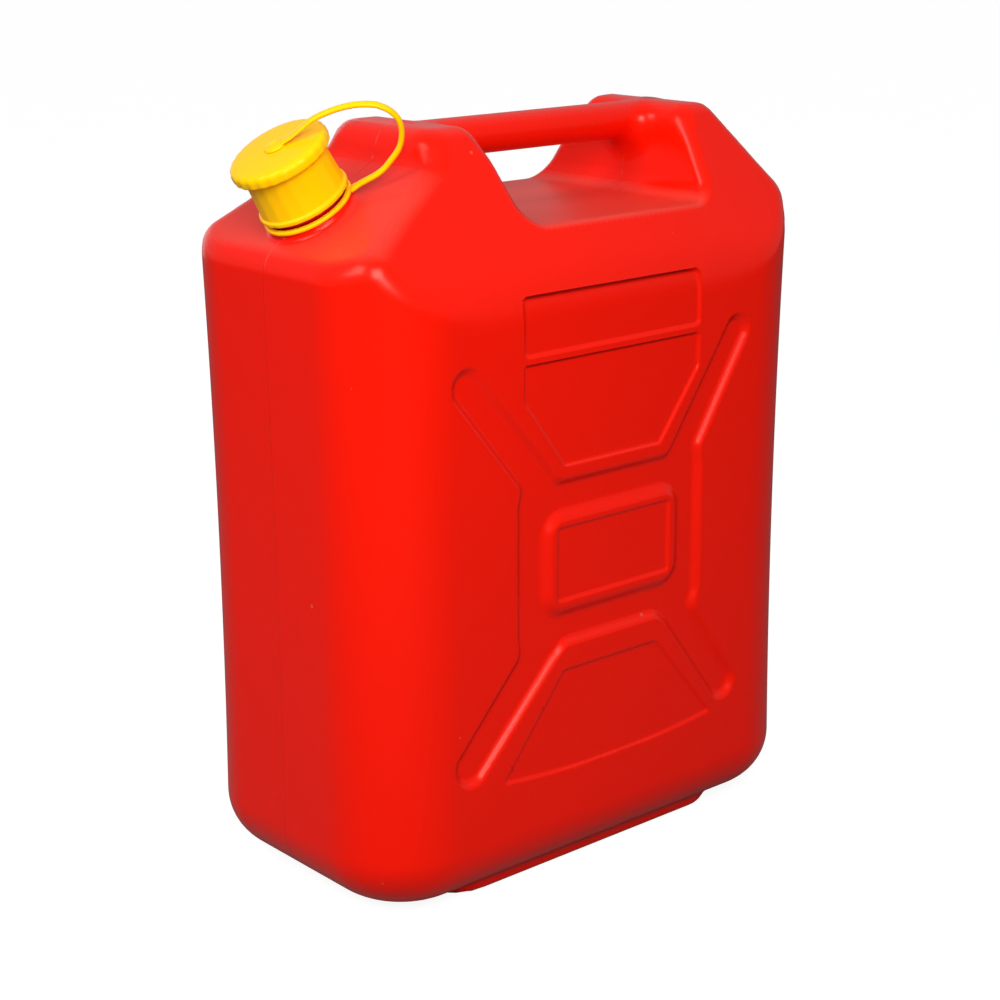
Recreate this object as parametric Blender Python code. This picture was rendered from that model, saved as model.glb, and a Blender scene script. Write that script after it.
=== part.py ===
"""A plastic jerrycan with a moulded-in handle and a tethered screw cap.

One blow-moulded can holds everything: a rounded box with a sloped shoulder
for the neck, a hand recess with a handle bar over it, and a pressed panel on
both broad sides. The screw cap carries a sealing washer. A moulded tether,
made of a ring, a strap and an eye, keeps the cap with the can.

The X axis runs along the can, with the neck at -X. Z is up, and the origin
lies on the ground under the middle of the can. Sizes are in metres.
"""
import math

import bmesh
import bpy
from mathutils import Matrix, Vector

# Can shell
LENGTH = 0.330
WIDTH = 0.186
HEIGHT = 0.422
WALL = 0.0025
WAIST = 0.002
CORNER_RADIUS = 0.051
BASE_RADIUS = 0.035
RIM_RADIUS = 0.012
EDGE_RADIUS = 0.014

# Foot pad under the can, set back from the walls
FOOT_HEIGHT = 0.004
FOOT_FRONT_SETBACK = 0.056
FOOT_REAR_SETBACK = 0.053
FOOT_SIDE_SETBACK = 0.018
FOOT_CORNER = 0.028
FOOT_ROUND = 0.005

# Sides that lean in towards the top
LEAN_DROP = 0.079
LEAN_RADIUS = 0.060
TOP_HALF_WIDTH = 0.040

# Shoulder, the post behind it, and the chamfer at the rear
SHOULDER_DROP = 0.0625
SHOULDER_ANGLE = math.radians(31.0)
SHOULDER_RADIUS = 0.024
POST_SETBACK = 0.0765
POST_LEAN = 0.004
POST_FILLET = 0.009
REAR_DROP = 0.060
REAR_RADIUS = 0.012
CHAMFER_RUN = 0.040

# Hand recess between the post and the rear block
RECESS_DROP = 0.0515
POST_LENGTH = 0.0352
POST_FLARE = 0.010
BLOCK_LENGTH = 0.0247
BLOCK_LEAN = 0.0068
POST_FOOT_FILLET = 0.016
BLOCK_FOOT_FILLET = 0.008
LIP_RADIUS = 0.014
LIP_RUN = 0.030
LIP_RISE = 0.006

# Handle bar
BAR_HALF_HEIGHT = 0.0104
BAR_HALF_WIDTH = 0.0125
BAR_DROP = 0.0107
BAR_ROOT = 0.013

# Pressed panel: the crossed channel, its island and the shallow recesses
CHANNEL_DEPTH = 0.0045
CHANNEL_DRAFT = 0.003
CHANNEL_BEND = 0.008
ARM_WIDTH = 0.0235
ISLAND_CORNER = 0.013
RECESS_DEPTH = 0.0016
RECESS_DRAFT = 0.0012
RECESS_CORNER = 0.002

# Neck, square to the shoulder
NECK_SETBACK = 0.038
NECK_BORE = 0.017
NECK_RADIUS = 0.0196
NECK_LENGTH = 0.0358
NECK_ROOT = 0.012
COLLAR_RADIUS = 0.0236
COLLAR_HEIGHT = 0.005
GROOVE_RADIUS = 0.0218
BEAD_RADIUS = 0.0224
BEAD_HEIGHT = 0.0012

# Screw thread
PITCH = 0.005
NECK_THREAD_CREST = 0.0209
NECK_THREAD_START = 0.0125
NECK_THREAD_TURNS = 3.0
CAP_THREAD_CREST = 0.0201
CAP_THREAD_TURNS = 2.0
THREAD_ROOT_WIDTH = 0.0021
THREAD_CREST_WIDTH = 0.0010

# Screw cap
CAP_GAP = 0.0022
DISC_RADIUS = 0.0276
DISC_THICKNESS = 0.0064
DISC_ROUND = 0.0016
DISC_CROWN = 0.0016
LOBE_DEPTH = 0.0005
SKIRT_TOP_RADIUS = 0.0229
SKIRT_FOOT_RADIUS = 0.0241
SKIRT_BORE = 0.0215
CAP_BEAD_RADIUS = 0.0254
CAP_BEAD_HEIGHT = 0.0028
CAP_PLATE = 0.0032

# Sealing washer in the cap
WASHER_THICKNESS = 0.002
WASHER_BORE = 0.014

# Tether ring, strap and eye
RING_RADIUS = 0.0251
RING_THICKNESS = 0.0022
TAB_LENGTH = 0.0024
TAB_WIDTH = 0.006
TETHER_ANGLE = math.radians(-45.0)
STRAP_WIDTH = 0.0034
STRAP_THICKNESS = 0.0025
LOOP_REACH = 0.0650
LOOP_CREST = 0.0060
EYE_RADIUS = 0.0060
EYE_THICKNESS = 0.002
STUD_RADIUS = 0.0021
STUD_LENGTH = 0.0026

# Clearances, and how far a cutter runs past what it cuts
FIT = 0.0003
OVERRUN = 0.010
MERGE = 0.0000001

# Fineness of the meshes
ARC_STEPS = 5
CORNER_STEPS = 7
LEVEL_GAP = 0.0015
BAR_STEPS = 20
TURN_STEPS = 48
STRAP_STEPS = 30

# The foot's rounded edge, from the ground up: how far in, and how high
FOOT_SHARES = [(1.0, 0.0), (0.45, 0.2), (0.12, 0.6), (0.0, 1.0)]

# The strap's route between ring and eye. Each pair is a share of the loop's
# reach, measured from the ring to the outermost point, and a share of the
# height from ring to eye. The last column adds a share of the crest.
LOOP_SHARES = [
    (0.08, 0.02, 0.0),
    (0.41, 0.06, 0.0),
    (0.65, 0.18, 0.0),
    (0.82, 0.30, 0.0),
    (0.94, 0.47, 0.0),
    (1.00, 0.65, 0.0),
    (0.96, 0.82, 0.0),
    (0.88, 0.95, 0.0),
    (0.78, 1.00, 0.19),
    (0.55, 1.00, 0.80),
    (0.28, 1.00, 1.00),
    (0.02, 1.00, 0.95),
]
# Past the ring's radius the strap comes down over the cap to the eye.
LANDING_SHARES = [(0.79, 0.88), (0.44, 0.58), (0.16, 0.24)]

# The panel's outlines, as shares of the flat wall. The first number runs from
# the middle of the can to the end of the flat, the second from the base's
# rounding up to where the side starts to lean.
HUB_HALF_SHARE = 0.614
HUB_SHARES = (0.355, 0.648)
ARM_TIP_SHARES = [(-0.921, 0.152), (0.805, 0.151), (0.833, 0.847), (-0.921, 0.845)]
LAND_SHARES = [(0.316, 0.342), (0.342, 0.648)]
ISLAND_SHARES = [(0.469, 0.398), (0.469, 0.595)]
PLATE_SHARES = [(0.373, 0.421), (0.373, 0.559)]
LABEL_SHARES = [(0.575, 0.8865), (0.575, 0.984)]
FIELD_SHARES = [(0.316, 0.668), (0.575, 0.796), (0.575, 0.865)]
TRAY_SHARES = [(0.675, 0.104), (0.675, 0.122), (0.316, 0.286)]

# Heights that share the waist between the base and the leaning sides
WAIST_SHARES = [0.2, 0.4, 0.6, 0.8]


def clear_scene():
    for item in list(bpy.data.objects):
        bpy.data.objects.remove(item, do_unlink=True)


def plastic(name, colour, roughness):
    """Return a Principled material in the given linear colour."""
    material = bpy.data.materials.new(name)
    material.use_nodes = True
    shader = material.node_tree.nodes["Principled BSDF"]
    shader.inputs["Base Color"].default_value = (*colour, 1.0)
    shader.inputs["Roughness"].default_value = roughness
    shader.inputs["Metallic"].default_value = 0.0
    material.diffuse_color = (*colour, 1.0)
    return material


def new_object(name, mesh, matrix=Matrix()):
    item = bpy.data.objects.new(name, mesh)
    bpy.context.scene.collection.objects.link(item)
    item.matrix_world = matrix
    return item


def finish_mesh(name, form):
    """Turn a bmesh into mesh data whose faces point out."""
    bmesh.ops.remove_doubles(form, verts=form.verts, dist=MERGE)
    bmesh.ops.recalc_face_normals(form, faces=form.faces)
    mesh = bpy.data.meshes.new(name)
    form.to_mesh(mesh)
    form.free()
    mesh.shade_smooth()
    mesh.set_sharp_from_angle(angle=math.radians(32.0))
    return mesh


def make_guide(item):
    item.hide_render = True
    item.display_type = "WIRE"
    return item


def boolean(item, operation, other):
    step = item.modifiers.new(other.name, "BOOLEAN")
    step.operation = operation
    step.solver = "EXACT"
    step.object = other


# Outlines


def offset_corners(corners, distance, closed):
    """Move the edges of an outline to their left and keep its fillets round.

    A corner is (a, b, radius), and the outline runs anticlockwise, so a
    positive distance shrinks it. An open outline keeps its two end edges.
    """
    count = len(corners)
    points = [Vector(corner[:2]) for corner in corners]
    edges = []
    for index in range(count if closed else count - 1):
        start = points[index]
        run = (points[(index + 1) % count] - start).normalized()
        edges.append((start + distance * Vector((-run.y, run.x)), run))
    result = []
    for index in range(count):
        if not closed and index in (0, count - 1):
            start, run = edges[min(index, count - 2)]
            span = (points[index] - start).dot(run)
            place = start + run * span
            result.append((place.x, place.y, 0.0))
            continue
        start, run = edges[index - 1]
        after, turn = edges[index]
        cross = run.x * turn.y - run.y * turn.x
        gap = after - start
        place = start + run * ((gap.x * turn.y - gap.y * turn.x) / cross)
        change = -distance if cross > 0 else distance
        radius = corners[index][2]
        result.append((place.x, place.y, max(radius + change, radius / 4)))
    return result


def rounded(corners, closed, steps=ARC_STEPS):
    """Replace each corner (a, b, radius) of an outline by an arc of points."""
    count = len(corners)
    result = []
    for index, (a, b, radius) in enumerate(corners):
        corner = Vector((a, b))
        at_end = not closed and index in (0, count - 1)
        if at_end or radius == 0.0:
            result.append(corner)
            continue
        back = Vector(corners[index - 1][:2]) - corner
        ahead = Vector(corners[(index + 1) % count][:2]) - corner
        shortest = min(back.length, ahead.length) / 2
        back.normalize()
        ahead.normalize()
        half = back.angle(ahead) / 2
        run = min(radius / math.tan(half), shortest)
        radius = run * math.tan(half)
        centre = corner + (back + ahead).normalized() * (radius / math.sin(half))
        first = corner + back * run - centre
        last = corner + ahead * run - centre
        sweep = math.atan2(first.x * last.y - first.y * last.x, first.dot(last))
        for step in range(steps + 1):
            turn = Matrix.Rotation(sweep * step / steps, 2)
            result.append(centre + turn @ first)
    return result


# Body shell


def shoulder_height():
    """Where the sloping shoulder meets the front wall, unrounded."""
    return HEIGHT - SHOULDER_DROP


def base_height():
    """Where the base's rounding ends and the walls begin."""
    return FOOT_HEIGHT + BASE_RADIUS


def lean_height():
    """Where the sides start to lean in, unrounded."""
    return HEIGHT - LEAN_DROP


def front_profile():
    """Distance forward of the middle against height, from base to top."""
    post_front = LENGTH / 2 - POST_SETBACK
    post_foot = post_front + POST_LEAN
    rise = (LENGTH / 2 - post_foot) * math.tan(SHOULDER_ANGLE)
    return [
        (0.0, FOOT_HEIGHT, 0.0),
        (LENGTH / 2, FOOT_HEIGHT, BASE_RADIUS),
        (LENGTH / 2, shoulder_height(), SHOULDER_RADIUS),
        (post_foot, shoulder_height() + rise, POST_FILLET),
        (post_front, HEIGHT, RIM_RADIUS),
        (0.0, HEIGHT, 0.0),
    ]


def rear_profile():
    """Distance behind the middle against height, from base to top."""
    return [
        (0.0, FOOT_HEIGHT, 0.0),
        (LENGTH / 2, FOOT_HEIGHT, BASE_RADIUS),
        (LENGTH / 2, HEIGHT - REAR_DROP, REAR_RADIUS),
        (LENGTH / 2 - CHAMFER_RUN, HEIGHT, RIM_RADIUS),
        (0.0, HEIGHT, 0.0),
    ]


def side_profile():
    """Half the width against height, from base to top."""
    return [
        (0.0, FOOT_HEIGHT, 0.0),
        (WIDTH / 2, FOOT_HEIGHT, BASE_RADIUS),
        (WIDTH / 2, lean_height(), LEAN_RADIUS),
        (TOP_HALF_WIDTH, HEIGHT, RIM_RADIUS),
        (0.0, HEIGHT, 0.0),
    ]


def reach_at(points, height):
    """Read a profile's distance from the middle at one height."""
    wall = points[1:-1]
    if height <= wall[0].y:
        return wall[0].x
    for low, high in zip(wall, wall[1:]):
        if low.y <= height <= high.y and high.y > low.y:
            share = (height - low.y) / (high.y - low.y)
            return low.x + (high.x - low.x) * share
    return wall[-1].x


def waist_at(height):
    """How far the walls are drawn in at one height."""
    share = (height - base_height()) / (lean_height() - base_height())
    return WAIST * max(0.0, 4.0 * share * (1.0 - share))


def ease(value):
    value = min(max(value, 0.0), 1.0)
    return value * value * (3.0 - 2.0 * value)


def corner_radius(height, half_width, edge_height, inset):
    """Plan radius of a corner: large on the walls, small above an edge."""
    wall = CORNER_RADIUS - inset - (WIDTH / 2 - inset - half_width)
    share = ease((height - edge_height) / EDGE_RADIUS)
    radius = wall + (EDGE_RADIUS - wall) * share
    return min(max(radius, EDGE_RADIUS), half_width)


def ring_points(front, rear, half_width, front_radius, rear_radius, height):
    """One horizontal section of the can, anticlockwise seen from above."""
    corners = [
        (rear, half_width, rear_radius),
        (front, half_width, front_radius),
        (front, -half_width, front_radius),
        (rear, -half_width, rear_radius),
    ]
    points = []
    for quarter, (x, y, radius) in enumerate(corners):
        centre_x = x - math.copysign(radius, x)
        centre_y = y - math.copysign(radius, y)
        for step in range(CORNER_STEPS + 1):
            angle = math.tau * (quarter + step / CORNER_STEPS) / 4
            points.append((
                centre_x + radius * math.cos(angle),
                centre_y + radius * math.sin(angle),
                height,
            ))
    return points


def hull(name, inset):
    """Loft the can's outer form, or the same form drawn one inset smaller."""
    outlines = []
    for profile in (front_profile(), rear_profile(), side_profile()):
        outlines.append(rounded(offset_corners(profile, inset, False), False))
    front, rear, side = outlines
    heights = [point.y for outline in outlines for point in outline]
    for share in WAIST_SHARES:
        heights.append(base_height() + (lean_height() - base_height()) * share)
    top = max(heights)
    levels = []
    for height in sorted(heights):
        if not levels or height - levels[-1] > LEVEL_GAP:
            levels.append(height)
    levels[-1] = top
    form = bmesh.new()
    rings = []
    for height in levels:
        waist = waist_at(height)
        half_width = reach_at(side, height) - waist
        section = ring_points(
            waist - reach_at(front, height),
            reach_at(rear, height) - waist,
            half_width,
            corner_radius(height, half_width, shoulder_height(), inset),
            corner_radius(height, half_width, HEIGHT - REAR_DROP, inset),
            height,
        )
        rings.append([form.verts.new(point) for point in section])
    count = len(rings[0])
    for lower, upper in zip(rings, rings[1:]):
        for index in range(count):
            after = (index + 1) % count
            form.faces.new((lower[index], lower[after], upper[after], upper[index]))
    form.faces.new(list(reversed(rings[0])))
    form.faces.new(rings[-1])
    return new_object(name, finish_mesh(name, form))


def extrude_outline(form, outline, place, rings):
    """Build a closed prism: place turns a point and a ring into a position."""
    layers = []
    for ring in rings:
        layers.append([form.verts.new(place(point, ring)) for point in outline(ring)])
    count = len(layers[0])
    for lower, upper in zip(layers, layers[1:]):
        for index in range(count):
            after = (index + 1) % count
            form.faces.new((lower[index], lower[after], upper[after], upper[index]))
    form.faces.new(list(reversed(layers[0])))
    form.faces.new(layers[-1])


def recess_ends():
    """Where the hand recess starts and ends along the can, at the top."""
    front = -LENGTH / 2 + POST_SETBACK + POST_LENGTH
    rear = LENGTH / 2 - CHAMFER_RUN - BLOCK_LENGTH
    return front, rear


def recess_cutter(name, inset):
    """The hand recess as a block that cuts across the whole width."""
    front, rear = recess_ends()
    floor = HEIGHT - RECESS_DROP
    corners = [
        (front - LIP_RUN, HEIGHT + LIP_RISE, 0.0),
        (front, HEIGHT - LIP_RISE / 2, LIP_RADIUS),
        (front + POST_FLARE, floor, POST_FOOT_FILLET),
        (rear - BLOCK_LEAN, floor, BLOCK_FOOT_FILLET),
        (rear, HEIGHT - LIP_RISE / 2, LIP_RADIUS),
        (rear + LIP_RUN, HEIGHT + LIP_RISE, 0.0),
    ]
    outline = rounded(offset_corners(corners, -inset, True), True)
    half = WIDTH / 2 + OVERRUN
    form = bmesh.new()
    extrude_outline(
        form,
        lambda y: outline,
        lambda point, y: (point.x, y, point.y),
        [-half, half],
    )
    return make_guide(new_object(name, finish_mesh(name, form)))


def arm_tip(root, tip):
    """The two outline corners at the round end of an arm, left one first."""
    along = (tip - root).normalized() * ARM_WIDTH / 2
    left = Vector((-along.y, along.x))
    radius = ARM_WIDTH / 2
    ends = []
    for place in (tip + along + left, tip + along - left):
        ends.append((place.x, place.y, radius))
    return ends


def on_panel(pair):
    """Turn a pair of shares into a place on the flat part of the broad side."""
    along, up = pair
    flat = LENGTH / 2 - CORNER_RADIUS
    return Vector((
        along * flat,
        base_height() + up * (lean_height() - base_height()),
    ))


def channel_corners():
    """The crossed channel in the plane of the broad side, anticlockwise."""
    corners = []
    for quarter, tip_share in enumerate(ARM_TIP_SHARES):
        upper = quarter >= 2
        hand = math.copysign(1, tip_share[0])
        land_share = LAND_SHARES[upper]
        hub = on_panel((hand * HUB_HALF_SHARE, HUB_SHARES[upper]))
        land = on_panel((hand * land_share[0], land_share[1]))
        tip = on_panel(tip_share)
        root = Vector(((hub.x + land.x) / 2, hub.y))
        leading, trailing = arm_tip(root, tip)
        outer = (hub.x, hub.y, CHANNEL_BEND)
        inner = (land.x, land.y, CHANNEL_BEND)
        if quarter % 2:
            corners += [inner, trailing, leading, outer]
        else:
            corners += [outer, trailing, leading, inner]
    return corners


def symmetric(shares, radius):
    """An outline mirrored about the middle, from (half, height) shares."""
    right = [on_panel(pair) for pair in shares]
    corners = [(place.x, place.y, radius) for place in right]
    return corners + [(-place.x, place.y, radius) for place in reversed(right)]


def shallow_recesses():
    """The two label fields, the lower tray and the plate on the island."""
    tables = (LABEL_SHARES, FIELD_SHARES, TRAY_SHARES, PLATE_SHARES)
    return [symmetric(table, RECESS_CORNER) for table in tables]


def panel_cutter(name, outlines, depth, draft, grow):
    """Press outlines into both broad sides, with walls that slope by draft.

    The outlines are given at the surface. A positive grow widens them and
    presses them deeper, which is how the inside of the wall follows.
    """
    surface = WIDTH / 2
    floor = surface - WAIST - depth - grow
    form = bmesh.new()
    for corners in outlines:
        for side in (-1.0, 1.0):
            rings = [
                (side * floor, draft - grow),
                (side * surface, -grow),
                (side * (surface + OVERRUN), -grow),
            ]
            extrude_outline(
                form,
                lambda ring: rounded(offset_corners(corners, ring[1], True), True),
                lambda point, ring: (point.x, ring[0], point.y),
                rings,
            )
    return make_guide(new_object(name, finish_mesh(name, form)))


def press_panel(item, prefix, inset):
    """Cut the channel, without its island, and the shallow recesses."""
    channel = panel_cutter(
        prefix + "channel_guide", [channel_corners()],
        CHANNEL_DEPTH, CHANNEL_DRAFT, inset)
    island = panel_cutter(
        prefix + "island_guide", [symmetric(ISLAND_SHARES, ISLAND_CORNER)],
        CHANNEL_DEPTH + OVERRUN, -CHANNEL_DRAFT, -inset)
    boolean(channel, "DIFFERENCE", island)
    shallow = panel_cutter(
        prefix + "recess_guide", shallow_recesses(),
        RECESS_DEPTH, RECESS_DRAFT, inset)
    boolean(item, "DIFFERENCE", channel)
    boolean(item, "DIFFERENCE", shallow)


def bar(name, inset):
    """The handle bar, an oval rod along the middle of the can."""
    height = HEIGHT - BAR_DROP
    front, rear = recess_ends()
    form = bmesh.new()
    oval = []
    for step in range(BAR_STEPS):
        angle = math.tau * step / BAR_STEPS
        oval.append(Vector((
            (BAR_HALF_WIDTH - inset) * math.cos(angle),
            (BAR_HALF_HEIGHT - inset) * math.sin(angle),
        )))
    extrude_outline(
        form,
        lambda x: oval,
        lambda point, x: (x, point.x, height + point.y),
        [front - BAR_ROOT, rear + BAR_ROOT],
    )
    return make_guide(new_object(name, finish_mesh(name, form)))


def foot_pad(name):
    front = FOOT_FRONT_SETBACK - LENGTH / 2
    rear = LENGTH / 2 - FOOT_REAR_SETBACK
    side = WIDTH / 2 - FOOT_SIDE_SETBACK
    corners = [
        (rear, -side, FOOT_CORNER),
        (rear, side, FOOT_CORNER),
        (front, side, FOOT_CORNER),
        (front, -side, FOOT_CORNER),
    ]
    rings = [(share * FOOT_ROUND, depth * FOOT_HEIGHT) for share, depth in FOOT_SHARES]
    rings.append((0.0, BASE_RADIUS / 2))
    form = bmesh.new()
    extrude_outline(
        form,
        lambda ring: rounded(offset_corners(corners, ring[0], True), True),
        lambda point, ring: (point.x, point.y, ring[1]),
        rings,
    )
    return make_guide(new_object(name, finish_mesh(name, form)))


# Turned pieces on the neck's axis


def neck_frame():
    """Place a piece drawn along +Z on the neck's axis, from the shoulder up."""
    setback = NECK_SETBACK
    place = Matrix.Translation((
        -LENGTH / 2 + setback * math.cos(SHOULDER_ANGLE),
        0.0,
        shoulder_height() + setback * math.sin(SHOULDER_ANGLE),
    ))
    return place @ Matrix.Rotation(-SHOULDER_ANGLE, 4, "Y")


def turned(name, profile, lobed=()):
    """Spin a profile of (radius, height) points about the Z axis.

    A profile that starts on the axis is closed by it. Any other profile is
    a loop. Every second point of a lobed row is pulled in, as a grip is.
    """
    form = bmesh.new()
    solid = profile[0][0] == 0.0
    rows = []
    for index, (radius, height) in enumerate(profile):
        if radius == 0.0:
            rows.append([form.verts.new((0.0, 0.0, height))])
            continue
        row = []
        for step in range(TURN_STEPS):
            angle = math.tau * step / TURN_STEPS
            pull = LOBE_DEPTH if index in lobed and step % 2 else 0.0
            row.append(form.verts.new((
                (radius - pull) * math.cos(angle),
                (radius - pull) * math.sin(angle),
                height,
            )))
        rows.append(row)
    pairs = list(zip(rows, rows[1:]))
    if not solid:
        pairs.append((rows[-1], rows[0]))
    for first, second in pairs:
        for step in range(TURN_STEPS):
            after = (step + 1) % TURN_STEPS
            if len(first) == 1:
                form.faces.new((first[0], second[step], second[after]))
            elif len(second) == 1:
                form.faces.new((first[step], second[0], first[after]))
            else:
                form.faces.new((first[step], first[after], second[after], second[step]))
    return new_object(name, finish_mesh(name, form), neck_frame())


def thread(name, root, crest, start, turns):
    """A helical ridge from root to crest radius that fades out at its ends."""
    count = round(turns * TURN_STEPS)
    fade = TURN_STEPS / 8
    embed = math.copysign(WALL / 4, crest - root)
    form = bmesh.new()
    sections = []
    for step in range(count + 1):
        angle = math.tau * step / TURN_STEPS
        height = start + PITCH * step / TURN_STEPS
        grown = min(1.0, (step + 1) / fade, (count + 1 - step) / fade)
        tip = root + (crest - root) * grown
        section = []
        for radius, offset in (
            (root - embed, -THREAD_ROOT_WIDTH / 2),
            (tip, -THREAD_CREST_WIDTH / 2),
            (tip, THREAD_CREST_WIDTH / 2),
            (root - embed, THREAD_ROOT_WIDTH / 2),
        ):
            section.append(form.verts.new((
                radius * math.cos(angle),
                radius * math.sin(angle),
                height + offset,
            )))
        sections.append(section)
    for first, second in zip(sections, sections[1:]):
        for index in range(4):
            after = (index + 1) % 4
            form.faces.new((first[index], first[after], second[after], second[index]))
    form.faces.new(sections[0])
    form.faces.new(list(reversed(sections[-1])))
    return make_guide(new_object(name, finish_mesh(name, form), neck_frame()))


def neck_blank():
    """The neck's outside: collar, groove for the ring, bead and lip."""
    groove_top = COLLAR_HEIGHT + RING_THICKNESS + 3 * FIT
    bead_top = groove_top + BEAD_HEIGHT
    profile = [
        (0.0, -NECK_ROOT),
        (COLLAR_RADIUS, -NECK_ROOT),
        (COLLAR_RADIUS, COLLAR_HEIGHT),
        (GROOVE_RADIUS, COLLAR_HEIGHT),
        (GROOVE_RADIUS, groove_top),
        (BEAD_RADIUS, groove_top),
        (BEAD_RADIUS, bead_top),
        (NECK_RADIUS, bead_top + BEAD_HEIGHT),
        (NECK_RADIUS, NECK_LENGTH),
        (0.0, NECK_LENGTH),
    ]
    return make_guide(turned("neck_guide", profile))


def neck_bore():
    """The way in through the neck, down to below the shoulder's wall."""
    depth = NECK_ROOT + WALL
    profile = [
        (0.0, -depth),
        (NECK_BORE, -depth),
        (NECK_BORE, NECK_LENGTH + OVERRUN),
        (0.0, NECK_LENGTH + OVERRUN),
    ]
    return make_guide(turned("bore_guide", profile))


def cavity():
    """The hollow inside: the outer form, drawn one wall smaller."""
    inside = make_guide(hull("cavity_guide", WALL))
    boolean(inside, "DIFFERENCE", recess_cutter("inner_recess_guide", WALL))
    boolean(inside, "UNION", bar("bar_core_guide", WALL))
    press_panel(inside, "inner_", WALL)
    boolean(inside, "UNION", neck_bore())
    return inside


def can_body(material):
    item = hull("can_body", 0.0)
    boolean(item, "DIFFERENCE", recess_cutter("recess_guide", 0.0))
    boolean(item, "UNION", bar("bar_guide", 0.0))
    boolean(item, "UNION", foot_pad("foot_guide"))
    press_panel(item, "outer_", 0.0)
    boolean(item, "UNION", neck_blank())
    boolean(item, "DIFFERENCE", cavity())
    ridge = thread(
        "neck_thread_guide", NECK_RADIUS, NECK_THREAD_CREST,
        NECK_THREAD_START, NECK_THREAD_TURNS)
    boolean(item, "UNION", ridge)
    item.data.materials.append(material)
    return item


# Cap, washer and tether


def cap_levels():
    """Heights above the shoulder of the cap's foot, inner top and rim."""
    foot = COLLAR_HEIGHT + FIT + RING_THICKNESS + CAP_GAP
    inner_top = NECK_LENGTH + FIT + WASHER_THICKNESS + FIT
    rim = inner_top + CAP_PLATE
    return foot, inner_top, rim


def crown_height(radius):
    """Height of the cap's domed top above its rim."""
    share = radius / DISC_RADIUS
    return DISC_CROWN * (1.0 - share * share)


def cap_profile():
    foot, inner_top, rim = cap_levels()
    socket = STUD_RADIUS + FIT
    floor = rim + DISC_CROWN - STUD_LENGTH - FIT
    edge = DISC_RADIUS - DISC_ROUND
    return [
        (0.0, floor),
        (socket, floor),
        (socket, rim + crown_height(socket)),
        (DISC_RADIUS / 3, rim + crown_height(DISC_RADIUS / 3)),
        (DISC_RADIUS * 2 / 3, rim + crown_height(DISC_RADIUS * 2 / 3)),
        (edge, rim + crown_height(edge)),
        (DISC_RADIUS, rim - DISC_ROUND),
        (DISC_RADIUS, rim - DISC_THICKNESS + DISC_ROUND),
        (edge, rim - DISC_THICKNESS),
        (SKIRT_TOP_RADIUS, rim - DISC_THICKNESS),
        (SKIRT_FOOT_RADIUS, foot + CAP_BEAD_HEIGHT),
        (CAP_BEAD_RADIUS, foot + CAP_BEAD_HEIGHT * 2 / 3),
        (CAP_BEAD_RADIUS, foot + CAP_BEAD_HEIGHT / 3),
        (SKIRT_FOOT_RADIUS, foot),
        (BEAD_RADIUS + 2 * FIT, foot),
        (SKIRT_BORE, foot + CAP_BEAD_HEIGHT),
        (SKIRT_BORE, inner_top),
        (0.0, inner_top),
    ]


def screw_cap(material):
    item = turned("cap", cap_profile(), lobed=(6, 7))
    start = NECK_THREAD_START - PITCH / 2
    ridge = thread(
        "cap_thread_guide", SKIRT_BORE, CAP_THREAD_CREST,
        start + PITCH, CAP_THREAD_TURNS)
    boolean(item, "UNION", ridge)
    item.data.materials.append(material)
    return item


def washer(material):
    low = NECK_LENGTH + FIT
    high = low + WASHER_THICKNESS
    outer = CAP_THREAD_CREST - FIT
    profile = [(WASHER_BORE, low), (outer, low), (outer, high), (WASHER_BORE, high)]
    item = turned("cap_washer", profile)
    item.data.materials.append(material)
    return item


def tether_side():
    """Turn from the neck's frame to the radial plane that the strap lies in."""
    return neck_frame() @ Matrix.Rotation(TETHER_ANGLE, 4, "Z")


def block(name, low, high, matrix):
    """A box between two corners."""
    form = bmesh.new()
    bmesh.ops.create_cube(form, size=1.0)
    for vert in form.verts:
        for axis in range(3):
            vert.co[axis] = low[axis] if vert.co[axis] < 0.0 else high[axis]
    return new_object(name, finish_mesh(name, form), matrix)


def tether_ring(material):
    low = COLLAR_HEIGHT + FIT
    high = low + RING_THICKNESS
    bore = GROOVE_RADIUS + FIT
    profile = [(bore, low), (RING_RADIUS, low), (RING_RADIUS, high), (bore, high)]
    item = turned("tether_ring", profile)
    middle = (bore + RING_RADIUS) / 2
    tab = block(
        "tab_guide",
        (middle, -TAB_WIDTH / 2, low + FIT / 2),
        (RING_RADIUS + TAB_LENGTH, TAB_WIDTH / 2, high - FIT / 2),
        tether_side(),
    )
    boolean(item, "UNION", make_guide(tab))
    item.data.materials.append(material)
    return item


def eye_levels():
    """Heights of the eye's underside and top, seated on the cap's crown."""
    rim = cap_levels()[2]
    low = rim + DISC_CROWN + FIT
    return low, low + EYE_THICKNESS


def tether_eye(material):
    """The round end of the strap, with the stud that turns in the cap."""
    low, high = eye_levels()
    profile = [
        (0.0, low - FIT - STUD_LENGTH),
        (STUD_RADIUS, low - FIT - STUD_LENGTH),
        (STUD_RADIUS, low),
        (EYE_RADIUS, low),
        (EYE_RADIUS, high - EYE_THICKNESS / 4),
        (EYE_RADIUS - EYE_THICKNESS / 4, high),
        (0.0, high),
    ]
    item = turned("tether_eye", profile)
    item.data.materials.append(material)
    return item


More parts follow.
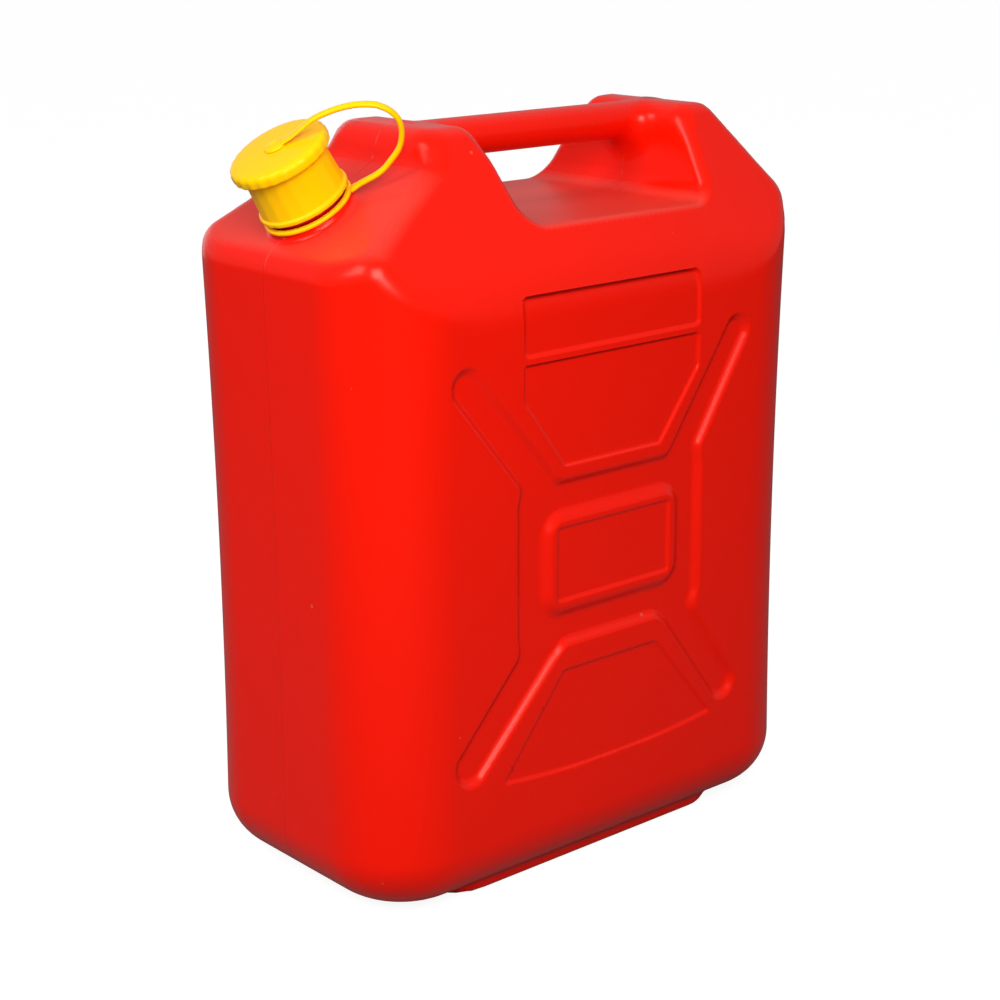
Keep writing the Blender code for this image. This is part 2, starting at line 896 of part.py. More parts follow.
def strap_route():
    """The strap's centre line as (distance from the axis, height) points."""
    start = Vector((
        RING_RADIUS + TAB_LENGTH + FIT,
        COLLAR_HEIGHT + FIT + RING_THICKNESS / 2,
    ))
    low, high = eye_levels()
    finish = Vector((EYE_RADIUS + FIT, (low + high) / 2))
    crest = finish.y + LOOP_CREST
    points = [start]
    for reach, rise, lift in LOOP_SHARES:
        distance = start.x + (LOOP_REACH - start.x) * reach
        height = start.y + (finish.y - start.y) * rise + LOOP_CREST * lift
        points.append(Vector((distance, height)))
    for reach, rise in LANDING_SHARES:
        distance = finish.x + (start.x - finish.x) * reach
        height = finish.y + (crest - finish.y) * rise
        points.append(Vector((distance, height)))
    points.append(finish)
    return points


def smooth_route(points, steps):
    """Read evenly spaced points from a smooth curve through the route."""
    padded = [2 * points[0] - points[1], *points, 2 * points[-1] - points[-2]]
    fine = []
    for before, start, end, after in zip(padded, padded[1:], padded[2:], padded[3:]):
        for step in range(8):
            t = step / 8
            fine.append(0.5 * (
                2 * start
                + (end - before) * t
                + (2 * before - 5 * start + 4 * end - after) * t * t
                + (3 * start - before - 3 * end + after) * t * t * t
            ))
    fine.append(points[-1])
    lengths = [0.0]
    for start, end in zip(fine, fine[1:]):
        lengths.append(lengths[-1] + (end - start).length)
    result = []
    index = 0
    for step in range(steps + 1):
        wanted = lengths[-1] * step / steps
        while index < len(fine) - 2 and lengths[index + 1] < wanted:
            index += 1
        share = (wanted - lengths[index]) / (lengths[index + 1] - lengths[index])
        result.append(fine[index].lerp(fine[index + 1], share))
    return result


def tether_strap(material):
    """A moulded strip of oval section swept along the loop."""
    route = smooth_route(strap_route(), STRAP_STEPS)
    form = bmesh.new()
    sections = []
    for index, point in enumerate(route):
        before = route[max(index - 1, 0)]
        after = route[min(index + 1, len(route) - 1)]
        run = (after - before).normalized()
        side = Vector((-run.y, run.x))
        section = []
        for corner in range(8):
            angle = math.tau * (corner + 0.5) / 8
            out = point + side * (math.cos(angle) * STRAP_THICKNESS / 2)
            across = math.sin(angle) * STRAP_WIDTH / 2
            section.append(form.verts.new((out.x, across, out.y)))
        sections.append(section)
    for first, second in zip(sections, sections[1:]):
        for index in range(8):
            after = (index + 1) % 8
            form.faces.new((first[index], first[after], second[after], second[index]))
    form.faces.new(sections[0])
    form.faces.new(list(reversed(sections[-1])))
    item = new_object("tether_strap", finish_mesh("tether_strap", form), tether_side())
    item.data.materials.append(material)
    return item


def main():
    clear_scene()
    red = plastic("red_plastic", (0.82, 0.02, 0.004), 0.42)
    yellow = plastic("yellow_plastic", (1.0, 0.58, 0.004), 0.35)
    rubber = plastic("washer_rubber", (0.03, 0.03, 0.032), 0.7)
    can_body(red)
    screw_cap(yellow)
    washer(rubber)
    tether_ring(yellow)
    tether_strap(yellow)
    tether_eye(yellow)


main()
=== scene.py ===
# %% [markdown]
# # A plastic jerrycan, dressed for its portrait
#
# The engineering model already has every part, size and moving joint. This
# lesson loads that model and builds a finer skin over it: soft moulded edges,
# the pressed cross on the sides, a scalloped cap and a thin moulded tether.
# Everything is in metres and sits where the engineering model says.

import math

import bmesh
import bpy
import numpy as np
from mathutils import Matrix, Vector


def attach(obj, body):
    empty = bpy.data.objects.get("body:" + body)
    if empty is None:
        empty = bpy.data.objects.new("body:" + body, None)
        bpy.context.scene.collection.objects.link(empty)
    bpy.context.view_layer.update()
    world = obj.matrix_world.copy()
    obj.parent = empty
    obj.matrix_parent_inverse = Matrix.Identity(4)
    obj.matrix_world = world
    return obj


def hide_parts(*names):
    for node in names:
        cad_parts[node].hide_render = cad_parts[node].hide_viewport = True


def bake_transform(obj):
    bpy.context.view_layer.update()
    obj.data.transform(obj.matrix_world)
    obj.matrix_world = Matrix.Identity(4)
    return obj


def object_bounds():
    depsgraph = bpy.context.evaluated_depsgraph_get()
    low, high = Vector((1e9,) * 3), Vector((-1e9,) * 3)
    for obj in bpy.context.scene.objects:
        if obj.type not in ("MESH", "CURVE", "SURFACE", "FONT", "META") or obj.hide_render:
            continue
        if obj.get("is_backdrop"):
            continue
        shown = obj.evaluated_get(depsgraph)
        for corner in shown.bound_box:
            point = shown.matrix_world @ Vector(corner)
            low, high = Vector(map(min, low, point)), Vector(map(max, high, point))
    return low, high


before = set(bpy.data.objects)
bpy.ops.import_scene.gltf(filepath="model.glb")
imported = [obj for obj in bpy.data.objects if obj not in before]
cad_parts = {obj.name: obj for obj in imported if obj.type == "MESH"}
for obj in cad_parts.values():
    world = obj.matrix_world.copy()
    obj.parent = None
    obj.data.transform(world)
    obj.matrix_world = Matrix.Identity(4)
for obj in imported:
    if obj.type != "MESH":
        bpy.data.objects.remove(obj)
cad_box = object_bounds()
print("parts:", sorted(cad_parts))

# %% [markdown]
# ## Camera
#
# The photographer stood at one corner of the can, a little above it, with a
# long lens. A camera is easiest to describe the same way: how far round the
# object, how high, how far away, and which point it looks at. A small roll
# corrects the horizon.

# %% Set up the camera
AZIMUTH, ELEVATION, ROLL, DISTANCE = -40.907, 16.387, -0.328, 1.23465
AIM = Vector((-0.00754, -0.00441, 0.19937))


def look_from(thing, azimuth, elevation, distance, target, roll=0.0):
    """Put a camera or a lamp at these angles from a target, looking at it."""
    azimuth, elevation, roll = map(math.radians, (azimuth, elevation, roll))
    flat = math.cos(elevation)
    way = Vector((math.sin(azimuth) * flat, -math.cos(azimuth) * flat, math.sin(elevation)))
    thing.rotation_mode = "QUATERNION"
    thing.location = target + way * distance
    thing.rotation_quaternion = (
        (-way).to_track_quat("-Z", "Y") @ Matrix.Rotation(roll, 3, "Z").to_quaternion())
    bpy.context.scene.collection.objects.link(thing)


camera = bpy.data.objects.new("camera", bpy.data.cameras.new("camera"))
camera.data.lens = 76.267
camera.data.sensor_width = 36.0
camera.data.clip_end = 50.0
look_from(camera, AZIMUTH, ELEVATION, DISTANCE, AIM, ROLL)
bpy.context.scene.camera = camera
bpy.context.scene.view_settings.view_transform = "Standard"
print("camera stands", round(camera.location.length, 2), "m from the can's foot")

# %% [markdown]
# ## Sizes of the can
#
# A blow-moulded can is a hollow shell with soft edges everywhere. These are
# the sizes of its outside, and WALL is how thick the shell is. The neck does
# not stand upright: its axis leans forward, square to the sloping shoulder.

# %% Name the can's sizes
HALF_LENGTH, HALF_WIDTH, HEIGHT = 0.165, 0.093, 0.422
CORNER, BASE_EDGE, WAIST = 0.051, 0.033, 0.0018
LEAN_TOP, LEAN_ANGLE, LEAN_EDGE = 0.0400, math.radians(57.2), 0.060
SHOULDER_ANGLE = math.radians(31.0)
POST_FRONT, POST_ANGLE, POST_FILLET = -0.0885, math.radians(80.0), 0.009
CHAMFER_FRONT, CHAMFER_ANGLE = 0.1232, math.radians(56.6)
RECESS_FLOOR, POST_FOOT_FILLET, BLOCK_FOOT_FILLET = 0.3708, 0.016, 0.013
RECESS_LIP, RECESS_TOP_LIP = 0.0065, 0.013
LEAN_CORNER, SHOULDER_EDGE, REAR_EDGE, RIM_EDGE = 0.016, 0.017, 0.009, 0.014
RECESS_FRONT, RECESS_FRONT_ANGLE = -0.0533, math.radians(79.0)
RECESS_REAR, RECESS_REAR_ANGLE = 0.0990, math.radians(82.5)
BAR_HEIGHT, BAR_HALF_HEIGHT, BAR_HALF_WIDTH = 0.4113, 0.0106, 0.0125
BAR_MIDDLE, BAR_REACH, BAR_FILLET = 0.022, 0.090, 0.012
FOOT, WALL = 0.004, 0.0025
PAD_MIDDLE, PAD_HALF_LENGTH, PAD_HALF_WIDTH, PAD_CORNER = 0.0015, 0.1105, 0.075, 0.028
PAD_TOP, PAD_EDGE, PAD_FILLET = 0.020, 0.005, 0.003
NECK_RADIUS, NECK_BORE, NECK_LENGTH = 0.0196, 0.017, 0.0358
NECK_ROOT, NECK_SPARE = 0.012, 0.006
COLLAR_RADIUS, COLLAR_HEIGHT, COLLAR_EDGE, COLLAR_FILLET = 0.0236, 0.0040, 0.0012, 0.0040
WAIST_MIDDLE, WAIST_REACH = 0.168, 0.182

neck_axis = Vector((-math.sin(SHOULDER_ANGLE), 0.0, math.cos(SHOULDER_ANGLE)))
neck_seat = Vector((-0.1324276, 0.0, 0.3790714))
print("neck leans", round(math.degrees(SHOULDER_ANGLE)), "degrees forward")

# %% [markdown]
# ## A shape written as one formula
#
# A soft moulded body is hard to build from boxes, because every edge flows
# into the next. It is easier as a formula that is negative inside the plastic,
# zero on its surface and positive outside. Each formula here gives four
# numbers for a place: that value, and the direction in which it grows. Two of
# them then join with a true round edge or fillet, so each edge radius is one
# number.

# %% Rounded joins
def formula(value, *direction):
    """Stack a value and the X, Y and Z of its direction of growth."""
    shape = np.shape(value)
    return np.stack([np.broadcast_to(part, shape) for part in (value, *direction)])


def cut_round(a, b, radius):
    """Keep what is inside both shapes, with the edge between them rounded."""
    p, q = a[0] + radius, b[0] + radius
    steep = np.sqrt((a[1:] ** 2).sum(0) * (b[1:] ** 2).sum(0)) + 1e-9
    alike = np.clip((a[1:] * b[1:]).sum(0) / steep, -0.95, 0.97)
    open_edge = 1 - alike * alike
    corner = np.sqrt(np.maximum(p * p + q * q - 2 * alike * p * q, 1e-16) / open_edge)
    u = (p - alike * q) / (open_edge * corner)
    v = (q - alike * p) / (open_edge * corner)
    edge = u * a + v * b
    edge[0] = corner
    flat = np.where(p > q, a, b)
    flat[0] = np.maximum(p, q)
    result = np.where((u > 0) & (v > 0), edge, flat)
    result[0] -= radius
    return result


def join_round(a, b, radius):
    """Keep what is inside either shape, with a fillet between them."""
    return -cut_round(-a, -b, radius)


def rounded_box(u, v, half_u, half_v, radius):
    """Distance to a rectangle with round corners, centred on zero."""
    du = np.abs(u) - half_u + radius
    dv = np.abs(v) - half_v + radius
    outside = np.hypot(np.maximum(du, 0), np.maximum(dv, 0))
    return outside + np.minimum(np.maximum(du, dv), 0) - radius


def rod(u, v, start, end, first, last):
    """Distance to a round-ended bar that narrows from the first radius to the last."""
    start, end = np.array(start), np.array(end)
    run = end - start
    share = ((u - start[0]) * run[0] + (v - start[1]) * run[1]) / (run @ run)
    share = np.clip(share, 0, 1)
    reach = np.hypot(u - start[0] - share * run[0], v - start[1] - share * run[1])
    return reach - first - (last - first) * share


def meet(a, b, radius):
    """Keep what is inside both flat outlines, with round corners."""
    corner = np.hypot(np.maximum(a + radius, 0), np.maximum(b + radius, 0))
    return np.minimum(-radius, np.maximum(a, b)) + corner


def soft_step(value):
    """Rise smoothly from 0 to 1 while value does."""
    value = np.clip(value, 0, 1)
    return value * value * (3 - 2 * value)


def ease(first, last, share):
    """Go smoothly from the first size to the last."""
    return first + (last - first) * soft_step(share)


# %% [markdown]
# ## The pressed cross
#
# The channel on each broad side stiffens the thin wall. Seen from the side it
# is a square hub with four arms and a raised island in the middle. Around it
# lie shallow fields with straight edges. Each is a flat outline, and its
# distance says how deep to press.

# %% Outlines on the broad sides
CHANNEL_DEPTH, CHANNEL_LIP, CHANNEL_RUN, ISLAND_RUN = 0.0037, 0.0012, 0.0062, 0.0082
FIELD_DEPTH, FIELD_LIP, FIELD_RUN, ARM_FILLET = 0.0014, 0.0006, 0.0028, 0.006
SMALL_STEP = 0.00005

# start and end (X, Z) of each arm, and its half width at both
arms = [
    ((-0.0540, 0.2360), (-0.1045, 0.2965), 0.0115, 0.0108),
    ((0.0560, 0.2360), (0.0965, 0.2985), 0.0112, 0.0098),
    ((-0.0500, 0.1430), (-0.1035, 0.0865), 0.0130, 0.0118),
    ((0.0505, 0.1430), (0.0915, 0.0855), 0.0116, 0.0104),
]


def channel_outline(x, z):
    """Distance to the channel's outer edge, negative inside it."""
    hub = rounded_box(x, z - 0.18765, 0.0702, 0.04805, 0.012)
    for start, end, first, last in arms:
        hub = -meet(-hub, -rod(x, z, start, end, first, last), ARM_FILLET)
    return hub


def island_outline(x, z):
    """Distance to the island in the hub, negative on its top."""
    return rounded_box(x - 0.0018, z - 0.1870, 0.0458, 0.0240, 0.008)


def trapezium(x, z, low, high, low_half, high_half, radius):
    """Distance to a symmetric outline that widens from low_half to high_half."""
    lean = math.atan2(low_half - high_half, high - low)
    side = (np.abs(x) - low_half) * math.cos(lean) + (z - low) * math.sin(lean)
    return meet(meet(z - high, low - z, radius), side, radius)


def shallow_outline(x, z):
    """Distance to the nearest of the shallow fields, negative inside it."""
    label = rounded_box(x, z - 0.3222, 0.0660, 0.0160, 0.004)
    field = meet(
        rounded_box(x, z - 0.2725, 0.0662, 0.0305, 0.004),
        trapezium(x, z, 0.242, 0.303, 0.036, 0.0813, 0.002), 0.002)
    sag = 0.0695 - 0.0048 * (1 - (x / 0.079) ** 2) - z
    tray = meet(sag, trapezium(x, z, 0.0640, 0.126, 0.0870, 0.036, 0.002), 0.003)
    plate = rounded_box(x - 0.0018, z - 0.1873, 0.0432, 0.0216, 0.003)
    return np.minimum(np.minimum(label, field), np.minimum(tray, plate))


def pressed_depth(x, z):
    """How far the broad side is pushed in at each place."""
    channel = soft_step((CHANNEL_LIP - channel_outline(x, z)) / CHANNEL_RUN)
    around = soft_step(island_outline(x, z) / ISLAND_RUN)
    shallow = soft_step((FIELD_LIP - shallow_outline(x, z)) / FIELD_RUN)
    return CHANNEL_DEPTH * channel * around + FIELD_DEPTH * shallow


def pressed_slope(x, z, dx, dz):
    """How fast the depth grows along a small step."""
    rise = pressed_depth(x + dx, z + dz) - pressed_depth(x - dx, z - dz)
    return rise / (2 * SMALL_STEP)


# %% [markdown]
# ## The can's body
#
# Now the whole body is cut from these pieces: a rounded box with a faint
# waist, leaning sides, the sloping shoulder, the hand recess, the foot pad,
# the handle bar and the collar under the neck.

# %% The body's formula
def tilted(across, up, place, angle, sign_x, sign_y):
    """A wall through a place at the can's top, leaning at an angle."""
    out, up_share = math.sin(angle), math.cos(angle)
    value = (across - place) * out + (up - HEIGHT) * up_share
    return formula(value, out * sign_x, out * sign_y, up_share)


def upright(distance, half, slope, sign_x, sign_y):
    """A vertical wall at half a length from the middle."""
    return formula(distance - half, sign_x, sign_y, slope)


def neck_polar(x, y, z):
    """Formulas for the distance from the neck's axis and the height on it."""
    dx, dz = x - neck_seat.x, z - neck_seat.z
    height = dx * neck_axis.x + dz * neck_axis.z
    ahead = dx * neck_axis.z - dz * neck_axis.x
    radius = np.hypot(ahead, y) + 1e-9
    out = ahead / radius
    return (
        formula(radius, out * neck_axis.z, y / radius, -out * neck_axis.x),
        formula(height, neck_axis.x, 0.0, neck_axis.z))


def shifted(shape, distance):
    """The same shape with its surface moved in by a distance."""
    moved = shape.copy()
    moved[0] += distance
    return moved


def level(z, height, facing):
    """A level wall that faces up (1) or down (-1)."""
    return formula((z - height) * facing, 0.0, 0.0, facing)


def walls(x, y, z, press):
    """The upright walls, with a faint waist and the cross pressed in."""
    middle = (z - WAIST_MIDDLE) / WAIST_REACH
    waist = WAIST * np.clip(1 - middle ** 2, 0, 1)
    drawn = np.where(waist > 0, -2 * WAIST * middle / WAIST_REACH, 0.0)
    ends = upright(np.abs(x) + waist, HALF_LENGTH, drawn, np.sign(x), 0.0)
    sides = upright(np.abs(y) + waist, HALF_WIDTH, drawn, 0.0, np.sign(y))
    form = cut_round(ends, sides, CORNER)
    form[0] += press * pressed_depth(x, z)
    form[1] += press * pressed_slope(x, z, SMALL_STEP, 0.0)
    form[3] += press * pressed_slope(x, z, 0.0, SMALL_STEP)
    return form


def box_form(x, y, z, press):
    """The can without its recess: walls cut by the leaning planes."""
    lean = tilted(np.abs(y), z, LEAN_TOP, LEAN_ANGLE, 0.0, np.sign(y))
    edge = ease(LEAN_EDGE, LEAN_CORNER, (np.abs(x) - 0.085) / 0.055)
    form = cut_round(walls(x, y, z, press), lean, edge)
    slope = neck_polar(x, y, z)[1]
    post = tilted(-x, z, -POST_FRONT, POST_ANGLE, -1.0, 0.0)
    edge = ease(SHOULDER_EDGE, RIM_EDGE, (x + 0.155) / 0.040)
    form = cut_round(form, join_round(slope, post, POST_FILLET), edge)
    form = cut_round(form, tilted(x, z, CHAMFER_FRONT, CHAMFER_ANGLE, 1.0, 0.0), REAR_EDGE)
    form = cut_round(form, level(z, HEIGHT, 1.0), RIM_EDGE)
    return cut_round(form, level(z, FOOT, -1.0), BASE_EDGE)


def body_field(x, y, z, press=1.0):
    """Negative inside the can's outer form, without the neck."""
    front = tilted(x, z, RECESS_FRONT, RECESS_FRONT_ANGLE, 1.0, 0.0)
    rear = tilted(-x, z, -RECESS_REAR, RECESS_REAR_ANGLE, -1.0, 0.0)
    hollow = join_round(level(z, RECESS_FLOOR, 1.0), front, POST_FOOT_FILLET)
    hollow = join_round(hollow, rear, BLOCK_FOOT_FILLET)
    lip = ease(RECESS_LIP, RECESS_TOP_LIP, (z - 0.400) / 0.020)
    form = cut_round(box_form(x, y, z, press), hollow, lip)
    along = x - PAD_MIDDLE
    pad = cut_round(
        upright(np.abs(along), PAD_HALF_LENGTH, 0.0, np.sign(along), 0.0),
        upright(np.abs(y), PAD_HALF_WIDTH, 0.0, 0.0, np.sign(y)), PAD_CORNER)
    pad = cut_round(pad, level(z, 0.0, -1.0), PAD_EDGE)
    form = join_round(form, cut_round(pad, level(z, PAD_TOP, 1.0), 0.0), PAD_FILLET)
    across, up = y / BAR_HALF_WIDTH, (z - BAR_HEIGHT) / BAR_HALF_HEIGHT
    reach = np.hypot(across, up) + 1e-9
    oval = formula(
        (reach - 1) * BAR_HALF_HEIGHT, 0.0,
        across / reach * BAR_HALF_HEIGHT / BAR_HALF_WIDTH, up / reach)
    along = x - BAR_MIDDLE
    ends = upright(np.abs(along), BAR_REACH, 0.0, np.sign(along), 0.0)
    return join_round(form, cut_round(oval, ends, 0.0), BAR_FILLET)


def stub(radius, height, width, top, edge):
    """A short cylinder on the neck's axis, with its foot inside the shoulder."""
    form = cut_round(shifted(radius, -width), shifted(height, -top), edge)
    return cut_round(form, -shifted(height, NECK_ROOT), 0.0)


def outer_field(x, y, z, press=1.0):
    """The outside of the can, with its collar and neck."""
    radius, height = neck_polar(x, y, z)
    form = join_round(
        body_field(x, y, z, press),
        stub(radius, height, COLLAR_RADIUS, COLLAR_HEIGHT, COLLAR_EDGE), COLLAR_FILLET)
    tube = stub(radius, height, NECK_RADIUS, NECK_LENGTH + NECK_SPARE, 0.0)
    return join_round(form, tube, 0.0)


def inner_field(x, y, z):
    """The hollow: the body drawn one wall smaller, and the neck's bore."""
    bore = stub(*neck_polar(x, y, z), NECK_BORE, NECK_LENGTH + NECK_SPARE, 0.0)
    return join_round(shifted(body_field(x, y, z), WALL), bore, 0.0)


centre = body_field(*np.array([[0.0], [0.001], [0.2]]))
print("body formula at the can's centre:", centre.ravel().round(3))

# %% [markdown]
# ## From formula to mesh
#
# The surface is where the formula crosses zero. A grid of small cells finds
# it: each cell that the surface passes through gets one point, and points of
# neighbouring cells join into faces. Then every point slides in the formula's
# direction until it lies exactly on the surface. The grid is laid over the
# smooth can, and its points slide into the pressed cross afterwards.

# %% Slide points onto a surface
BROAD_Y, BROAD_TOP, BROAD_FACING = 0.080, 0.342, 0.6
LONGEST_SLIDE, LEAST_STEEP = 0.003, 0.05


def settle(field, points, rounds=4):
    """Move points in the formula's direction until its value is zero.

    On the broad sides they only move straight in or out, so that they can't
    fold over each other where the wall steps.
    """
    for _ in range(rounds):
        value, *direction = field(*points.T)
        direction = np.array(direction)
        broad = (np.abs(points[:, 1]) > BROAD_Y) & (points[:, 2] < BROAD_TOP)
        direction[::2, broad & (np.abs(direction[1]) > BROAD_FACING)] = 0.0
        steep = np.maximum((direction ** 2).sum(0), LEAST_STEEP)
        slide = np.clip(value / steep, -LONGEST_SLIDE, LONGEST_SLIDE)
        points = points - (direction * slide).T
    return points


# %% Find the surface in a grid
def wrap(field, low, high, cell):
    """Cover the zero surface with triangles, about one cell in size."""
    spans = [np.arange(a, b + cell, cell) for a, b in zip(low, high)]
    value = np.empty([len(span) for span in spans])
    for index, x in enumerate(spans[0]):
        y, z = np.meshgrid(spans[1], spans[2], indexing="ij")
        value[index] = field(np.full_like(y, x), y, z)[0]
    inside = value < 0
    counts = np.array(value.shape) - 1
    total = np.zeros(tuple(counts) + (3,))
    hits = np.zeros(tuple(counts))
    crossings = []
    for axis in range(3):
        first = np.take(inside, range(counts[axis]), axis)
        second = np.take(inside, range(1, counts[axis] + 1), axis)
        where = np.argwhere(first != second)
        step = np.eye(3, dtype=int)[axis]
        a = value[tuple(where.T)]
        b = value[tuple((where + step).T)]
        place = where + np.outer(a / (a - b), step)
        crossings.append((where, first[tuple(where.T)]))
        for i in (0, 1):
            for j in (0, 1):
                back_step = np.insert(np.array([i, j]), axis, 0)
                cells = where - back_step
                good = ((cells >= 0) & (cells < counts)).all(1)
                np.add.at(total, tuple(cells[good].T), place[good])
                np.add.at(hits, tuple(cells[good].T), 1)
    number = np.full(tuple(counts), -1)
    used = hits > 0
    number[used] = np.arange(used.sum())
    origin = np.array([span[0] for span in spans])
    points = origin + cell * total[used] / hits[used][:, None]
    quads = []
    for axis, (where, leaves) in enumerate(crossings):
        u, v = np.eye(3, dtype=int)[[(axis + 1) % 3, (axis + 2) % 3]]
        keep = (where - u - v >= 0).all(1)
        where, leaves = where[keep], leaves[keep]
        ring = [where - u - v, where - v, where, where - u]
        quad = np.stack([number[tuple(corner.T)] for corner in ring], 1)
        quads.append(np.where(leaves[:, None], quad, quad[:, ::-1]))
    quads = np.concatenate(quads)
    triangles = np.concatenate([quads[:, [0, 1, 2]], quads[:, [0, 2, 3]]])
    return settle(field, points), triangles


# %% [markdown]
# ## Finer faces where there is detail
#
# Flat walls need few faces, while the edge of the cross needs many. So long
# edges are split only where the detail asks for it, and each new point slides
# onto the surface too.

# %% Split edges where detail is near
PLAIN_SIZE, LIP_SIZE, WALL_SIZE, STEP_SIZE = 0.0068, 0.0034, 0.0024, 0.0012


def wanted_size(points):
    """How long a triangle's edge may be at each place."""
    x, y, z = points.T
    broad = (np.abs(y) > 0.078) & (z < 0.345)
    near_wall = np.minimum(
        np.abs(channel_outline(x, z) + 0.0019),
        np.abs(island_outline(x, z) - 0.0041)) < 0.0045
    near_step = np.abs(shallow_outline(x, z) + 0.0008) < 0.0020
    radius, height = neck_polar(x, y, z)
    near_neck = (radius[0] < 0.029) & (height[0] > -0.004)
    lean_edge = LEAN_TOP + (HEIGHT - z) / math.tan(LEAN_ANGLE)
    near_lip = (
        (np.abs(x - BAR_MIDDLE) < 0.084) & (z > 0.365) & (np.abs(y) > lean_edge - 0.010))
    size = np.where(near_lip, LIP_SIZE, PLAIN_SIZE)
    size = np.where((near_wall & broad) | near_neck, WALL_SIZE, size)
    return np.where(near_step & broad, STEP_SIZE, size)


def refine(field, points, triangles):
    """Split every edge that is longer than wanted, once."""
    sides = np.sort(triangles[:, [[0, 1], [1, 2], [2, 0]]].reshape(-1, 2), 1)
    edges, owner = np.unique(sides, axis=0, return_inverse=True)
    owner = owner.reshape(-1, 3)
    middle = points[edges].mean(1)
    length = np.linalg.norm(points[edges[:, 0]] - points[edges[:, 1]], axis=1)
    split = length > wanted_size(middle)
    new = np.full(len(edges), -1)
    new[split] = len(points) + np.arange(split.sum())
    points = np.concatenate([points, settle(field, middle[split])])
    mids = new[owner]
    cuts = (mids >= 0).sum(1)
    result = [triangles[cuts == 0]]
    for turn in range(3):
        corner = np.roll(triangles, -turn, 1)
        mid = np.roll(mids, -turn, 1)
        one = (cuts == 1) & (mid[:, 0] >= 0)
        a, b, c = corner[one].T
        ab = mid[one, 0]
        result += [np.stack([a, ab, c], 1), np.stack([ab, b, c], 1)]
        two = (cuts == 2) & (mid[:, 2] < 0)
        a, b, c = corner[two].T
        ab, bc, _ = mid[two].T
        result += [
            np.stack([a, ab, bc], 1), np.stack([ab, b, bc], 1), np.stack([a, bc, c], 1)]
    a, b, c = triangles[cuts == 3].T
    ab, bc, ca = mids[cuts == 3].T
    result += [
        np.stack([a, ab, ca], 1), np.stack([ab, b, bc], 1),
        np.stack([ca, bc, c], 1), np.stack([ab, bc, ca], 1)]
    return points, np.concatenate(result)


def relax(field, points, triangles):
    """Even out the triangles by moving points toward their neighbours."""
    sides = triangles[:, [[0, 1], [1, 2], [2, 0]]].reshape(-1, 2)
    total = np.zeros_like(points)
    count = np.zeros(len(points))
    for a, b in (sides.T, sides.T[::-1]):
        np.add.at(total, a, points[b])
        np.add.at(count, a, 1)
    return settle(field, 0.5 * points + 0.5 * total / count[:, None], 2)


# %% Build the can's outside and inside
OUTSIDE_CELL, INSIDE_CELL, SPLIT_ROUNDS = 0.0040, 0.0075, 4
low = np.array([-0.1850, -0.1004, -0.0040])
high = np.array([0.172, 0.100, 0.430])
outside, outside_faces = wrap(
    lambda *place: outer_field(*place, press=0.0), low, high, OUTSIDE_CELL)
outside = settle(outer_field, outside)
for _ in range(SPLIT_ROUNDS):
    outside, outside_faces = refine(outer_field, outside, outside_faces)
    outside = relax(outer_field, outside, outside_faces)
inside, inside_faces = wrap(inner_field, low, high, INSIDE_CELL)
print("outside:", len(outside_faces), "faces; inside:", len(inside_faces), "faces")


# %% [markdown]
# ## One shell
#
# The outside and the inside meet only at the lip of the neck. Both are cut
# there by one flat plane, and a ring of faces joins the two open edges.

# %% Join the two at the lip
def mesh_from(name, points, faces):
    """Mesh data from arrays of points and faces."""
    mesh = bpy.data.meshes.new(name)
    mesh.vertices.add(len(points))
    mesh.vertices.foreach_set("co", np.asarray(points, np.float32).ravel())
    mesh.loops.add(faces.size)
    mesh.loops.foreach_set("vertex_index", faces.astype(np.int32).ravel())
    mesh.polygons.add(len(faces))
    starts = np.arange(0, faces.size, faces.shape[1], dtype=np.int32)
    mesh.polygons.foreach_set("loop_start", starts)
    mesh.update()
    mesh.validate()
    return mesh


def place(name, mesh):
    """Put finished mesh data in the scene, at the origin."""
    piece = bpy.data.objects.new(name, mesh)
    bpy.context.scene.collection.objects.link(piece)
    return piece


both = np.concatenate([outside, inside])
faces = np.concatenate([outside_faces, inside_faces[:, ::-1] + len(outside)])
form = bmesh.new()
form.from_mesh(mesh_from("shell", both, faces))
cut = bmesh.ops.bisect_plane(
    form, geom=form.verts[:] + form.edges[:] + form.faces[:], dist=1e-6,
    plane_co=neck_seat + neck_axis * NECK_LENGTH, plane_no=neck_axis,
    clear_outer=True)
rim = [item for item in cut["geom_cut"] if isinstance(item, bmesh.types.BMEdge)]
bmesh.ops.bridge_loops(form, edges=rim)
bmesh.ops.triangulate(form, faces=form.faces[:])
open_edges = sum(1 for edge in form.edges if not edge.is_manifold)
can_mesh = bpy.data.meshes.new("can_shell")
form.to_mesh(can_mesh)
form.free()
can_mesh.shade_smooth()
print("can shell:", len(can_mesh.polygons), "faces,", open_edges, "open edges")

# %% [markdown]
# ## Smooth shading without facets
#
# Moulded plastic mirrors a lamp as one smooth streak, and flat triangles would
# break it up. The formula knows which way its surface faces at every point, so
# it gives the mesh its normals. Only the lip of the neck, where the shell was
# cut, keeps a flat face.

# %% Shade it by the formula's own direction
def listed(items, label, width, kind=float):
    """Read one property of all items as an array."""
    values = np.empty(width * len(items), kind)
    items.foreach_get(label, values)
    return values.reshape(-1, width)


